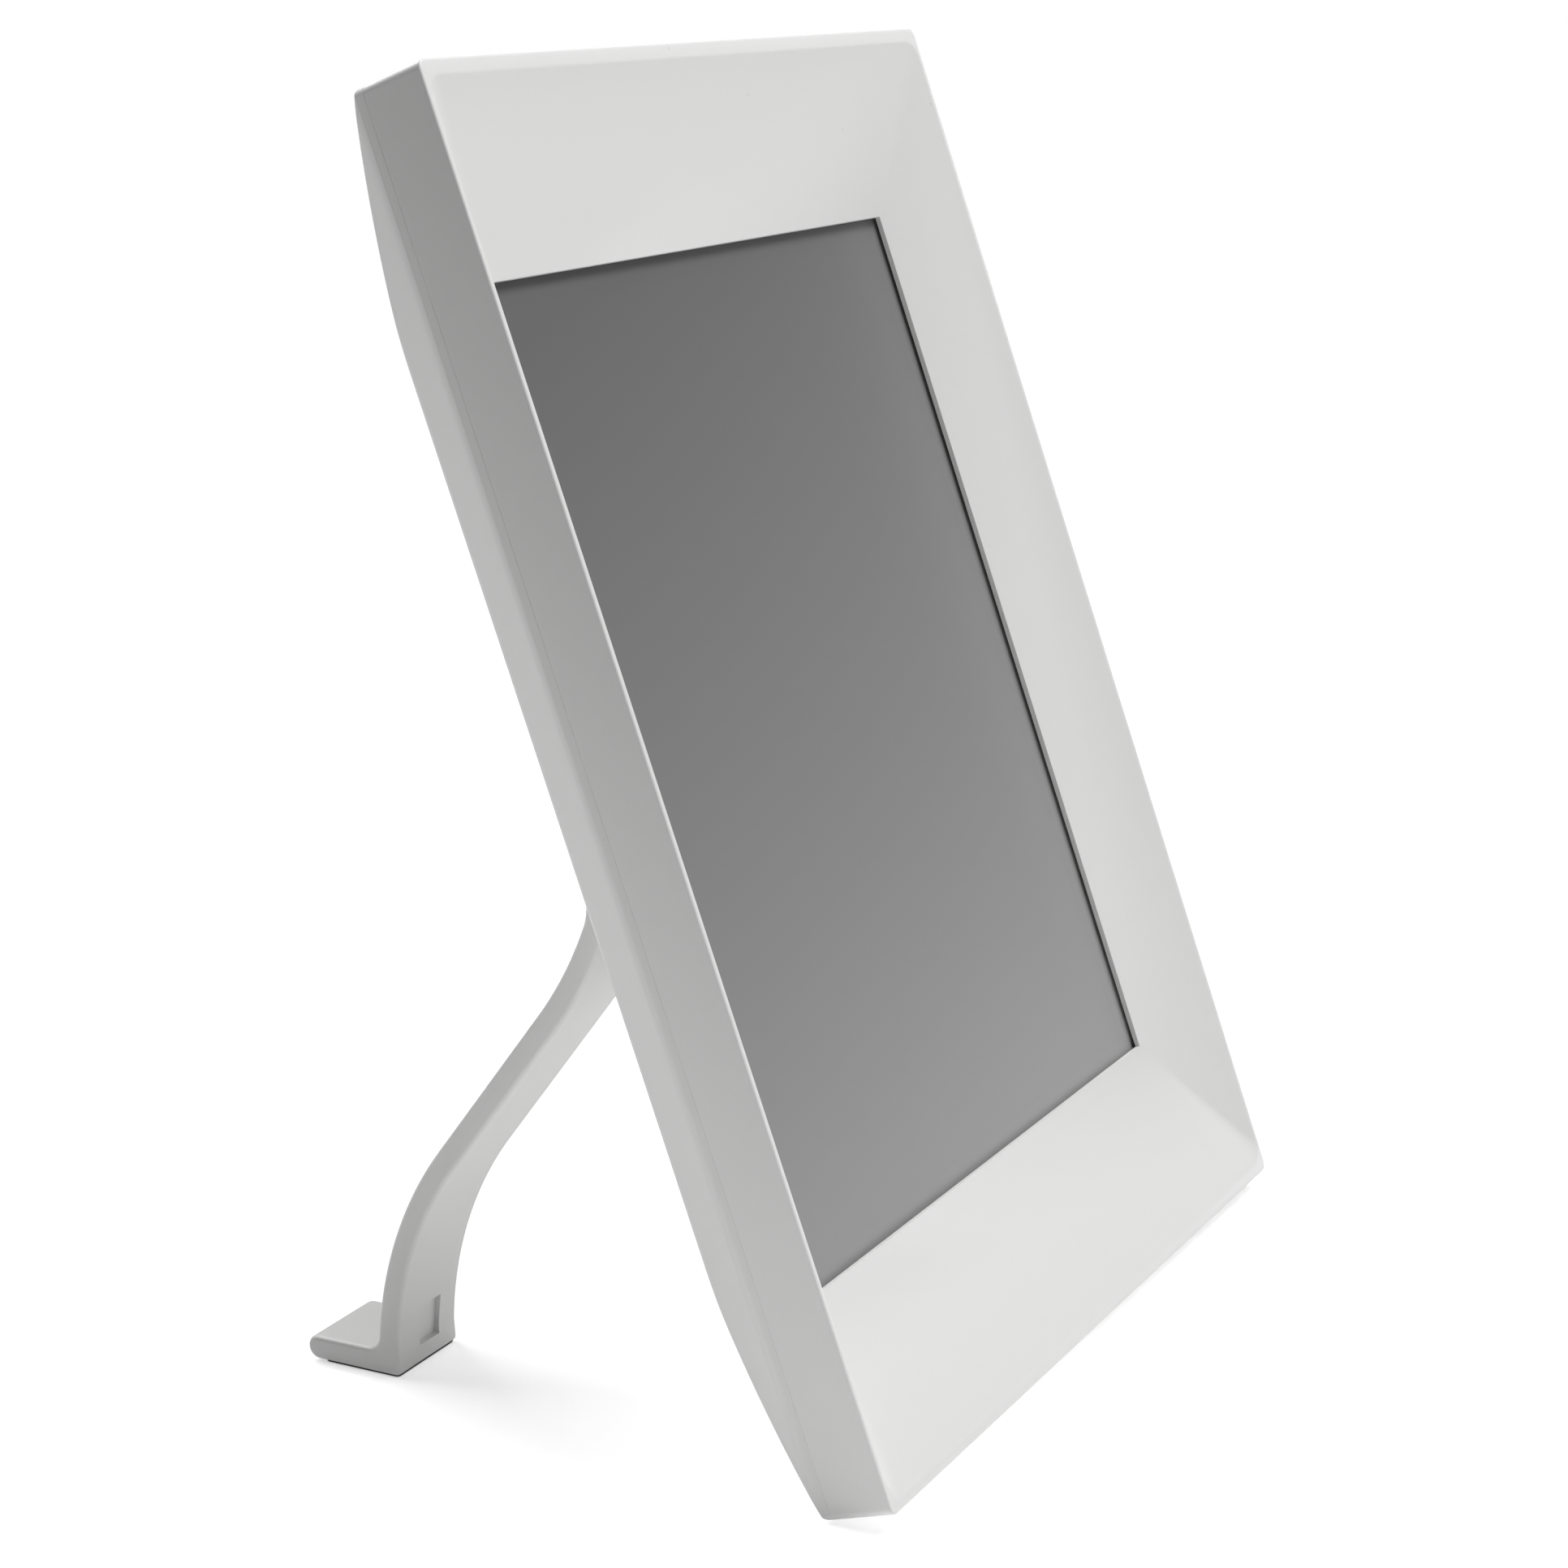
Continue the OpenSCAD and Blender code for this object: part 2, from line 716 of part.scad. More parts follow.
module hub_retainer() {
    color("gray")
    lean_back() {
        rear = inside_y - 1.2 - lay_gap;
        difference() {
            rod_y(retainer_r, stand_x, [rear - retainer_t, rear], 0);
            for (x = [-1, 1])
                rod_y(1.1, stand_x + x * hub_screw_x, [rear - 3, rear + over], 0);
            for (a = [0, 90, 180, 270])
                translate([stand_x, rear - 3, 0])
                    rotate([-90, a, 0])
                        translate([retainer_r, 0, 0])
                            cylinder(r = 1.6, h = 6);
        }
    }
}

module hub_screws() {
    color("silver")
    lean_back() {
        rear = inside_y - 1.2 - lay_gap - retainer_t;
        for (x = [-1, 1]) {
            rod_y(1, stand_x + x * hub_screw_x, [rear - 0.2, rear + 5], 0);
            rod_y(2, stand_x + x * hub_screw_x, [rear - 1, rear], 0);
        }
    }
}

// A strip spring on the cover whose round nose drops into the retainer's notches.
module detent_spring() {
    color("gold")
    lean_back() {
        nose_x = stand_x + retainer_r + 1.2;
        y = [inside_y - 1.2 - retainer_t - lay_gap, inside_y];
        translate([nose_x, y[1], 0])
            rotate([90, 0, 0])
                cylinder(r = 1.1, h = y[1] - y[0]);
        bar([nose_x + 0.7, nose_x + 1.3], y, [-14, 14]);
        for (z = [-1, 1])
            bar([nose_x + 0.7, nose_x + 6], [inside_y - 0.8, inside_y], [z * 14 - 3, z * 14 + 3]);
    }
}

module leg_outline() {
    polygon(concat(leg_side(leg_t / 2), reversed(leg_side(-leg_t / 2))));
}

module stand_leg() {
    color("white")
    lean_back()
        difference() {
            union() {
                // the strip
                translate([stand_x - leg_w / 2, 0, 0])
                    rotate([90, 0, 90])
                        linear_extrude(leg_w)
                            difference() {
                                leg_outline();
                                translate([0, -hub_drop + 2])
                                    square([200, 60]);
                            }
                // the tongue in the hub
                bar([stand_x - tongue_w / 2, stand_x + tongue_w / 2], [leg_axis_y - 2, leg_axis_y + 2],
                    [-hub_drop + 1, 7]);
                foot_plate();
            }
            // everything below the table line and the seat of the rubber pad
            sole_cut();
            pad_seat();
            // pocket in the leg's front face, just above the foot
            foot_pocket();
            rod_y(1, stand_x, [leg_axis_y - 1.2, leg_axis_y + 4], 2);
        }
}

// Places a shape drawn along the table, with its origin at the heel.
module at_heel() {
    p = on_table(0, 0);
    translate([stand_x, p[0], p[1]])
        rotate([lean, 0, 0])
            children();
}

module foot_plate() {
    fillet_r = 4;
    leg_back = leg_t / 2 - foot_t / tan(foot_slope + lean);
    at_heel() {
        translate([-leg_w / 2, foot_front, sole_clear])
            cube([leg_w, foot_len - toe_r, 2 * toe_r]);
        translate([-leg_w / 2, foot_front + foot_len - toe_r, sole_clear + toe_r])
            rotate([0, 90, 0])
                cylinder(r = toe_r, h = leg_w);
        difference() {
            translate([-leg_w / 2, leg_back - 1, foot_t - 0.5])
                cube([leg_w, fillet_r + 1, fillet_r + 0.5]);
            translate([-leg_w / 2 - over, leg_back + fillet_r, foot_t + fillet_r])
                rotate([0, 90, 0])
                    cylinder(r = fillet_r, h = leg_w + 2 * over);
        }
    }
}

module sole_cut() {
    at_heel()
        translate([-leg_w, foot_front - 20, sole_clear - 20])
            cube([2 * leg_w, foot_len + 60, 20]);
}

pad_w = leg_w - 3;
pad_l = foot_len - 5.5;
module pad_shape(grow, y0, y1) {
    at_heel()
        translate([0, foot_front + 1.2 + pad_l / 2, y0])
            linear_extrude(y1 - y0)
                round_rect(pad_w + 2 * grow, pad_l + 2 * grow, 1.5);
}

module pad_seat() {
    pad_shape(0.05, -over, pad_t);
}

module foot_pad() {
    color("black")
    lean_back()
        pad_shape(0, 0, pad_t);
}

pocket_w = 7;
pocket_h = 10;
pocket_depth = 1.2;
pocket_shift = 1;    // off the middle of the leg
module foot_pocket() {
    pocket_slope = foot_slope - 3.5;
    centre = arc_point(leg_p4, lower_bend_r, middle_slope, foot_slope, pocket_slope, -leg_t / 2);
    translate([stand_x + pocket_shift, centre[0], centre[1]])
        rotate([90 - pocket_slope, 0, 0])
            cube([pocket_w, 2 * pocket_depth, pocket_h], center = true);
}

module leg_screw() {
    color("silver")
    lean_back()
        difference() {
            union() {
                rod_y(1, stand_x, [leg_axis_y - 1, hub_y - screw_sink + 0.1], 2);
                rod_y(2, stand_x, [hub_y - screw_sink, hub_y - lay_gap], 2);
            }
            translate([stand_x, hub_y - lay_gap, 2])
                cube([2.8, 0.7, 0.5], center = true);
        }
}

front_bezel();
rear_cover();
window_gasket();
screen_glass();
display_frame();
light_guide();
led_strip();
backlight_tray();
display_brackets();
bracket_screws();
main_board();
processor();
memory_chips();
cable_connector();
screen_cable();
card_reader();
usb_socket();
power_socket();
push_switches();
slide_switch();
power_slider();
menu_button();
back_button();
previous_button();
next_button();
enter_button();
board_screws();
cover_screws();
stand_hub();
hub_retainer();
hub_screws();
detent_spring();
stand_leg();
leg_screw();
foot_pad();
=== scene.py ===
# %% [markdown]
# # A digital photo frame on its curved stand
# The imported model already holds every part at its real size, leaning on its stand.
# Here the parts that people see are modelled again with soft edges, and every part gets its
# finish.
# Nothing in this file changes a size: the model on disk is the ruler for all of it.

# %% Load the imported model
import json
import math

import bmesh
import bpy
from mathutils import Matrix, Vector


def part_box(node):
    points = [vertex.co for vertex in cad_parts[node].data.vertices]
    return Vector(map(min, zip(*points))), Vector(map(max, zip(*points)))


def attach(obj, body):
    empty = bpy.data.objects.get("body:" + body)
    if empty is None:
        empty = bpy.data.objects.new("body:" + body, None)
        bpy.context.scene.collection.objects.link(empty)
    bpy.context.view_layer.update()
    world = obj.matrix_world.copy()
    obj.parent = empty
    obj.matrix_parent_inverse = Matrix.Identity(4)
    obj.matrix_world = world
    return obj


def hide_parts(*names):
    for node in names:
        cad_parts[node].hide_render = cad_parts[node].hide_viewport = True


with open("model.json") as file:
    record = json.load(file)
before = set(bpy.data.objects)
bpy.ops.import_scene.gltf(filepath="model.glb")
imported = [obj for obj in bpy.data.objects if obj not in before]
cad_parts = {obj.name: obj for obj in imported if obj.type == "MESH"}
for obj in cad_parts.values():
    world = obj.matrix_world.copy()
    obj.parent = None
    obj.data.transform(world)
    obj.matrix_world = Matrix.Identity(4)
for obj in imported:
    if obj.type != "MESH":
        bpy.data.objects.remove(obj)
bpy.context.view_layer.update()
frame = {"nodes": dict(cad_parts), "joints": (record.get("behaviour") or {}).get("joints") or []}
MM = 0.001

# %% [markdown]
# The frame leans back, which is an awkward way to model anything square.
# So each piece is modelled on an upright panel, with X to the right, Y towards the back and Z up
# from the middle of the front rim, and is tipped into place at the end.
# The lean is the tilt of the stand's turning axis. The front shell's box gives the panel's height
# and depth: the box of a tilted plate is a sum of sines and cosines of those two, so they can be
# solved from it.

# %% Find the upright panel inside the leaning frame
hinge = next(j for j in frame["joints"] if j["name"] == "stand_swivel")
lean = math.atan2(hinge["axis"][2], -hinge["axis"][1])
shell_low, shell_high = [Vector(corner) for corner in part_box("front_bezel")]
span = shell_high - shell_low
cos_lean, sin_lean = math.cos(lean), math.sin(lean)
double = cos_lean ** 2 - sin_lean ** 2

PANEL_W = span.x
PANEL_H = (span.z * cos_lean - span.y * sin_lean) / double
FRONT_D = (span.y * cos_lean - span.z * sin_lean) / double

origin = Vector((
    (shell_low.x + shell_high.x) / 2,
    shell_low.y + PANEL_H / 2 * sin_lean,
    shell_low.z + PANEL_H / 2 * cos_lean + FRONT_D * sin_lean,
))
PANEL = Matrix.Translation(origin) @ Matrix.Rotation(-lean, 4, "X")
hub = PANEL.inverted() @ Vector(hinge["pos_m"])
BACK_Y = hub.y
print(f"panel {PANEL_W / MM:.1f} x {PANEL_H / MM:.1f} mm, shell {FRONT_D / MM:.1f} mm deep,",
      f"back at {BACK_Y / MM:.1f} mm, lean {math.degrees(lean):.1f} degrees")

# %% [markdown]
# ## The camera and the light
# The camera stands in front and to the left, a little above the frame, and looks down at it.
# It is placed with named values: where it stands, what it looks at, how far it is turned about
# its own axis, and its lens. Two large soft lamps high in front and on the right, and one behind,
# give the even light of a product picture.

# %% Camera
CAMERA_AT = (-0.5497, -0.3414, 0.2870)
CAMERA_AIM = (-0.0555, -0.0396, 0.1391)
CAMERA_ROLL = math.radians(-3.36)
CAMERA_LENS = 67.56

camera_data = bpy.data.cameras.new("studio_camera")
camera_data.lens = CAMERA_LENS
camera_data.sensor_width = 36
camera_data.clip_start = 0.01
camera = bpy.data.objects.new("studio_camera", camera_data)
bpy.context.scene.collection.objects.link(camera)
look = Vector(CAMERA_AIM) - Vector(CAMERA_AT)
aimed = look.to_track_quat("-Z", "Y").to_matrix().to_4x4()
camera.matrix_world = Matrix.Translation(CAMERA_AT) @ aimed @ Matrix.Rotation(CAMERA_ROLL, 4, "Z")
bpy.context.scene.camera = camera
print("camera stands", round(look.length, 3), "m from what it looks at")

# %% Floor and lights
FLOOR_SIZE = 40
LAMP_AIM = (0, 0, 0.14)


def area_light(name, at, size, watts):
    """A soft rectangular lamp, turned towards the middle of the frame."""
    data = bpy.data.lights.new(name, "AREA")
    data.shape = "RECTANGLE"
    data.size, data.size_y = size
    data.energy = watts
    lamp = bpy.data.objects.new(name, data)
    bpy.context.scene.collection.objects.link(lamp)
    turn = (Vector(LAMP_AIM) - Vector(at)).to_track_quat("-Z", "Y").to_matrix().to_4x4()
    lamp.matrix_world = Matrix.Translation(at) @ turn


area_light("high_right", (0.50, -0.40, 1.55), (0.8, 0.8), 15)
area_light("high_front", (0.25, -0.90, 1.65), (0.8, 0.8), 16)
area_light("high_back", (0.15, 1.05, 0.95), (1.2, 0.8), 14)

bpy.ops.object.select_all(action="DESELECT")
bpy.ops.mesh.primitive_plane_add(size=FLOOR_SIZE, location=(0, 0, 0))
floor = bpy.context.object
floor.name = "studio_floor"
print("three lamps and a floor", FLOOR_SIZE, "m wide")

# %% [markdown]
# The frame stands on a white table that is lit from below as well, as in a product studio.
# Light that comes back up from the table is why the white sides get paler towards the bottom.
# The glow is a few round pools, each a spherical gradient. What the eye sees of the table and
# of the air behind it is plain white, which the Light Path node separates from what they light.

# %% Small helpers for nodes
def feed(tree, socket, value):
    """Links a socket to another one, or sets it to a plain value."""
    if hasattr(value, "is_linked"):
        tree.links.new(value, socket)
    else:
        socket.default_value = value


def math_node(tree, operation, a, b=None, clamp=False):
    """A Math node whose inputs are sockets or plain numbers."""
    node = tree.nodes.new("ShaderNodeMath")
    node.operation = operation
    node.use_clamp = clamp
    feed(tree, node.inputs[0], a)
    if b is not None:
        feed(tree, node.inputs[1], b)
    return node.outputs[0]


def new_finish(name):
    """A new material with its node tree and its shader."""
    material = bpy.data.materials.new(name)
    material.use_nodes = True
    return material, material.node_tree, material.node_tree.nodes["Principled BSDF"]


# %% White table and air
POOLS = (((-0.25, -0.25), 0.40, 0.44), ((0.45, -0.35), 0.60, 0.15), ((-0.10, 0.03), 0.62, 0.08))
SEEN_NEAR, SEEN_FAR, SEEN_REACH = 0.34, 1.0, 1.6
AIR_LIGHT = 0.012
WHITE = (1, 1, 1, 1)


def pool(tree, place, at, reach):
    """1 at a point of the table, falling evenly to 0 at a distance."""
    scaled = tree.nodes.new("ShaderNodeMapping")
    scaled.inputs["Scale"].default_value = (1 / reach,) * 3
    scaled.inputs["Location"].default_value = (-at[0] / reach, -at[1] / reach, 0)
    gradient = tree.nodes.new("ShaderNodeTexGradient")
    gradient.gradient_type = "SPHERICAL"
    tree.links.new(place, scaled.inputs["Vector"])
    tree.links.new(scaled.outputs["Vector"], gradient.inputs["Vector"])
    return gradient.outputs["Fac"]


floor_paint, tree, floor_shader = new_finish("floor_paint")
floor_shader.inputs["Base Color"].default_value = (0.92, 0.92, 0.92, 1)
floor_shader.inputs["Roughness"].default_value = 0.9
place = tree.nodes.new("ShaderNodeTexCoord").outputs["Object"]
glow = 0.0
for at, reach, strength in POOLS:
    light = math_node(tree, "MULTIPLY", pool(tree, place, at, reach), strength)
    glow = math_node(tree, "ADD", glow, light)
seen = pool(tree, place, (0, 0), SEEN_REACH)
seen = math_node(tree, "MULTIPLY", seen, SEEN_NEAR - SEEN_FAR)
seen = math_node(tree, "ADD", seen, SEEN_FAR)
eye = tree.nodes.new("ShaderNodeLightPath").outputs["Is Camera Ray"]
glow = math_node(tree, "ADD", glow, math_node(tree, "MULTIPLY", seen, eye))
tree.links.new(glow, floor_shader.inputs["Emission Color"])
floor_shader.inputs["Emission Strength"].default_value = 1.0
floor.data.materials.append(floor_paint)

world = bpy.data.worlds.new("studio_air")
world.use_nodes = True
air = world.node_tree
dim = air.nodes["Background"]
dim.inputs["Color"].default_value = WHITE
dim.inputs["Strength"].default_value = AIR_LIGHT
white = air.nodes.new("ShaderNodeBackground")
white.inputs["Color"].default_value = WHITE
choose = air.nodes.new("ShaderNodeMixShader")
air.links.new(air.nodes.new("ShaderNodeLightPath").outputs["Is Camera Ray"], choose.inputs["Fac"])
air.links.new(dim.outputs["Background"], choose.inputs[1])
air.links.new(white.outputs["Background"], choose.inputs[2])
air.links.new(choose.outputs["Shader"], air.nodes["World Output"].inputs["Surface"])
bpy.context.scene.world = world
bpy.context.scene.view_settings.view_transform = "Standard"
print("white table with", len(POOLS), "pools of light, and white air")

# %% [markdown]
# ## Finishes
# Moulded plastic isn't one flat colour. Seen close it has a fine pebble from the mould, slow
# changes in tone where the wall is thicker, and a few specks of dust.
# Each of these effects is a node group with named inputs and outputs, built once and used by
# several materials with different values.

# %% Node groups
SPECK_SIZE, SPECK_RARE = 0.09, 0.985


def new_group(name, inputs, outputs):
    """An empty shader group. inputs is [(name, default)], outputs is [(name, type)]."""
    group = bpy.data.node_groups.new(name, "ShaderNodeTree")
    for label, value in inputs:
        socket = group.interface.new_socket(label, in_out="INPUT", socket_type="NodeSocketFloat")
        socket.default_value = value
    for label, kind in outputs:
        group.interface.new_socket(label, in_out="OUTPUT", socket_type=kind)
    enter = group.nodes.new("NodeGroupInput")
    leave = group.nodes.new("NodeGroupOutput")
    return group, enter, leave


def add(tree, kind, **values):
    """Adds a node, sets its properties, and then its unlinked inputs, named in_Something."""
    node = tree.nodes.new(kind)
    for key, value in values.items():
        if key.startswith("in_"):
            node.inputs[key[3:].replace("_", " ")].default_value = value
        else:
            setattr(node, key, value)
    return node


def grain_group():
    """Fine moulded pebble: a height for Bump, and a small change in roughness."""
    group, enter, leave = new_group(
        "moulded_grain",
        [("Scale", 1400.0), ("Height", 1.0), ("Roughness", 0.4), ("Spread", 0.04)],
        [("Height", "NodeSocketFloat"), ("Roughness", "NodeSocketFloat")])
    place = add(group, "ShaderNodeTexCoord")
    fine = add(group, "ShaderNodeTexNoise", in_Detail=3.0, in_Roughness=0.55)
    broad = add(group, "ShaderNodeTexNoise", in_Scale=22.0, in_Detail=2.0)
    group.links.new(place.outputs["Object"], fine.inputs["Vector"])
    group.links.new(place.outputs["Object"], broad.inputs["Vector"])
    group.links.new(enter.outputs["Scale"], fine.inputs["Scale"])
    height = math_node(group, "MULTIPLY", fine.outputs["Fac"], enter.outputs["Height"])
    swing = math_node(group, "SUBTRACT", broad.outputs["Fac"], 0.5)
    swing = math_node(group, "MULTIPLY", swing, enter.outputs["Spread"])
    rough = math_node(group, "ADD", enter.outputs["Roughness"], swing)
    group.links.new(height, leave.inputs["Height"])
    group.links.new(rough, leave.inputs["Roughness"])
    return group


def tone_group():
    """Slow change of tone and a few dust specks, as a factor that darkens the base colour."""
    group, enter, leave = new_group(
        "tone_and_dust", [("Tone", 0.02), ("Dust", 0.10), ("Scale", 260.0)],
        [("Factor", "NodeSocketFloat")])
    place = add(group, "ShaderNodeTexCoord")
    slow = add(group, "ShaderNodeTexNoise", in_Scale=9.0, in_Detail=2.0)
    cells = add(group, "ShaderNodeTexVoronoi")
    group.links.new(place.outputs["Object"], slow.inputs["Vector"])
    group.links.new(place.outputs["Object"], cells.inputs["Vector"])
    group.links.new(enter.outputs["Scale"], cells.inputs["Scale"])
    chance = add(group, "ShaderNodeSeparateColor")
    group.links.new(cells.outputs["Color"], chance.inputs["Color"])
    near = math_node(group, "LESS_THAN", cells.outputs["Distance"], SPECK_SIZE)
    rare = math_node(group, "GREATER_THAN", chance.outputs["Red"], SPECK_RARE)
    speck = math_node(group, "MULTIPLY", near, rare)
    speck = math_node(group, "MULTIPLY", speck, enter.outputs["Dust"])
    drift = math_node(group, "MULTIPLY", slow.outputs["Fac"], enter.outputs["Tone"])
    dark = math_node(group, "ADD", speck, drift)
    factor = math_node(group, "SUBTRACT", 1.0, dark, clamp=True)
    group.links.new(factor, leave.inputs["Factor"])
    return group


def brushed_group():
    """Long fine scratches along one axis, for rolled and pressed metal."""
    group, enter, leave = new_group(
        "rolled_metal", [("Scale", 900.0), ("Roughness", 0.35), ("Spread", 0.18)],
        [("Height", "NodeSocketFloat"), ("Roughness", "NodeSocketFloat")])
    place = add(group, "ShaderNodeTexCoord")
    stretch = add(group, "ShaderNodeMapping")
    stretch.inputs["Scale"].default_value = (0.04, 1.0, 1.0)
    lines = add(group, "ShaderNodeTexNoise", in_Detail=4.0)
    group.links.new(place.outputs["Object"], stretch.inputs["Vector"])
    group.links.new(stretch.outputs["Vector"], lines.inputs["Vector"])
    group.links.new(enter.outputs["Scale"], lines.inputs["Scale"])
    swing = math_node(group, "MULTIPLY", lines.outputs["Fac"], enter.outputs["Spread"])
    rough = math_node(group, "ADD", enter.outputs["Roughness"], swing)
    group.links.new(lines.outputs["Fac"], leave.inputs["Height"])
    group.links.new(rough, leave.inputs["Roughness"])
    return group


GRAIN, TONE, ROLLED = grain_group(), tone_group(), brushed_group()
print("groups:", GRAIN.name, TONE.name, ROLLED.name)

# %% [markdown]
# Every finish starts from the same recipe: a base colour that the tone group darkens a little,
# a roughness that wanders, and a bump that is only a few hundredths of a millimetre high.
# What differs is how coarse the grain is, how shiny the surface is, and whether it is metal.

# %% Materials
RELIEF, FINE_RELIEF = 0.2 * MM, 0.1 * MM


def use_group(tree, group, **values):
    """Places a node group in a material with its own values."""
    node = tree.nodes.new("ShaderNodeGroup")
    node.node_tree = group
    for key, value in values.items():
        node.inputs[key].default_value = value
    return node


def mix_colours(tree, blend, factor, a, b):
    """A Mix node for colours, whose inputs are sockets or plain values."""
    mix = tree.nodes.new("ShaderNodeMix")
    mix.data_type = "RGBA"
    mix.blend_type = blend
    for label, value in (("Factor", factor), ("A", a), ("B", b)):
        feed(tree, mix.inputs[label], value)
    return mix.outputs["Result"]


def tinted(tree, colour, factor):
    """A colour times a factor that changes over the surface."""
    return mix_colours(tree, "MULTIPLY", 1.0, (*colour, 1), factor)


def raise_bump(tree, shader, height, strength, distance):
    """Turns a height into small changes of the surface's direction."""
    bump = add(tree, "ShaderNodeBump", in_Strength=strength, in_Distance=distance)
    tree.links.new(height, bump.inputs["Height"])
    tree.links.new(bump.outputs["Normal"], shader.inputs["Normal"])


def plastic(name, colour, rough=0.42, grain=1400.0, bump=0.05, tone=0.02, dust=0.1):
    """Moulded plastic: fine pebble, slow change of tone, a few specks."""
    material, tree, shader = new_finish(name)
    surface = use_group(tree, GRAIN, Scale=grain, Roughness=rough)
    tint = use_group(tree, TONE, Tone=tone, Dust=dust)
    tree.links.new(tinted(tree, colour, tint.outputs["Factor"]), shader.inputs["Base Color"])
    tree.links.new(surface.outputs["Roughness"], shader.inputs["Roughness"])
    raise_bump(tree, shader, surface.outputs["Height"], bump, RELIEF)
    shader.inputs["IOR"].default_value = 1.49
    return material


def metal(name, colour, rough=0.3, scale=900.0):
    """Pressed or rolled metal with fine lines along it."""
    material, tree, shader = new_finish(name)
    surface = use_group(tree, ROLLED, Scale=scale, Roughness=rough)
    tint = use_group(tree, TONE, Tone=0.12, Dust=0.0)
    tree.links.new(tinted(tree, colour, tint.outputs["Factor"]), shader.inputs["Base Color"])
    tree.links.new(surface.outputs["Roughness"], shader.inputs["Roughness"])
    raise_bump(tree, shader, surface.outputs["Height"], 0.05, FINE_RELIEF)
    shader.inputs["Metallic"].default_value = 1.0
    return material


shell_white = plastic("shell_white", (0.79, 0.79, 0.785), rough=0.38, grain=1800, bump=0.03)
cover_white = plastic("cover_white", (0.79, 0.79, 0.785), rough=0.48, grain=900, bump=0.12)
stand_white = plastic("stand_white", (0.78, 0.78, 0.775), rough=0.40, grain=1500)
button_white = plastic("button_white", (0.74, 0.74, 0.735), rough=0.35, grain=1600, bump=0.03)
foam_black = plastic("foam_black", (0.03, 0.03, 0.03), rough=0.95, grain=500, bump=0.5, tone=0.1)
rubber_grey = plastic("rubber_grey", (0.055, 0.055, 0.056), rough=0.75, grain=700, bump=0.25)
board_green = plastic("board_green", (0.015, 0.10, 0.04), rough=0.35, grain=300, tone=0.25)
chip_black = plastic("chip_black", (0.02, 0.02, 0.022), rough=0.55, grain=2500, bump=0.15)
ivory = plastic("connector_ivory", (0.72, 0.66, 0.50), rough=0.5)
cable_white = plastic("cable_white", (0.75, 0.74, 0.70), rough=0.35, grain=400, bump=0.1)
led_white = plastic("led_white", (0.80, 0.72, 0.35), rough=0.3, grain=700)
steel = metal("pressed_steel", (0.56, 0.56, 0.57), rough=0.28)
aluminium = metal("sheet_aluminium", (0.74, 0.74, 0.75), rough=0.34, scale=600)
spring_metal = metal("spring_strip", (0.68, 0.52, 0.25), rough=0.22)
print("plastics and metals ready")

# %% [markdown]
# The screen is switched off. Its front is glass with a matt film, which scatters what it
# reflects, so it looks mid grey. Its base grey is painted paler towards the bottom and a little
# to the right. This is a painted reflection of the room's light in the film, not the film's own
# colour.
# The picture area ends a few millimetres inside the window, where the film lies over a paler
# printed border. That border is a mask made from the distance to the screen's edges, in the
# panel's own directions, so a Mapping node first turns the coordinates upright.

# %% Screen and light guide
SCREEN_BORDER = 3.0 * MM
SCREEN_BLUR = 2.5 * MM
WINDOW_W, WINDOW_H = 159 * MM, 212 * MM
# Painted reflection: the film's base grey fades from dark at the top to paler at the bottom and
# right.
REFLECTION_FADE_DOWN, REFLECTION_FADE_RIGHT = 0.92, 0.22
FILM_AND_REFLECTION_TOP, FILM_AND_REFLECTION_BOTTOM, BORDER_PALER = 0.145, 0.315, 0.02


def grey(value):
    """A grey as a colour socket takes it."""
    return (value, value, value, 1)


def screen_material():
    """A matt film with a painted reflection that makes it paler towards the bottom and right, and
    a paler printed border.
    """
    material, tree, shader = new_finish("screen_grey")
    place = add(tree, "ShaderNodeTexCoord")
    centre = add(tree, "ShaderNodeMapping", vector_type="TEXTURE")
    centre.inputs["Location"].default_value = origin
    centre.inputs["Rotation"].default_value = (-lean, 0, 0)
    split = add(tree, "ShaderNodeSeparateXYZ")
    tree.links.new(place.outputs["Object"], centre.inputs["Vector"])
    tree.links.new(centre.outputs["Vector"], split.inputs["Vector"])
    gaps = []
    for axis, size in (("X", WINDOW_W), ("Z", WINDOW_H)):
        across = math_node(tree, "ABSOLUTE", split.outputs[axis])
        gaps.append(math_node(tree, "SUBTRACT", size / 2 - SCREEN_BORDER, across))
    inside = math_node(tree, "MINIMUM", gaps[0], gaps[1])
    border = math_node(tree, "DIVIDE", inside, SCREEN_BLUR)
    border = math_node(tree, "ADD", border, 0.5, clamp=True)
    border = math_node(tree, "SUBTRACT", 1.0, border)
    surface = use_group(tree, GRAIN, Scale=2600.0, Roughness=0.38, Spread=0.04)
    # Painted reflection: the grey brightens towards the bottom and the right of the screen.
    down = math_node(tree, "MULTIPLY", split.outputs["Z"], -REFLECTION_FADE_DOWN / WINDOW_H)
    right = math_node(tree, "MULTIPLY", split.outputs["X"], REFLECTION_FADE_RIGHT / WINDOW_W)
    reflection_fade = math_node(tree, "ADD", math_node(tree, "ADD", down, right), 0.5, clamp=True)
    film_and_reflection = mix_colours(tree, "MIX", reflection_fade, grey(FILM_AND_REFLECTION_TOP), grey(FILM_AND_REFLECTION_BOTTOM))
    colour = mix_colours(tree, "ADD", border, film_and_reflection, grey(BORDER_PALER))
    tree.links.new(colour, shader.inputs["Base Color"])
    tree.links.new(surface.outputs["Roughness"], shader.inputs["Roughness"])
    raise_bump(tree, shader, surface.outputs["Height"], 0.08, FINE_RELIEF)
    shader.inputs["IOR"].default_value = 1.5
    return material


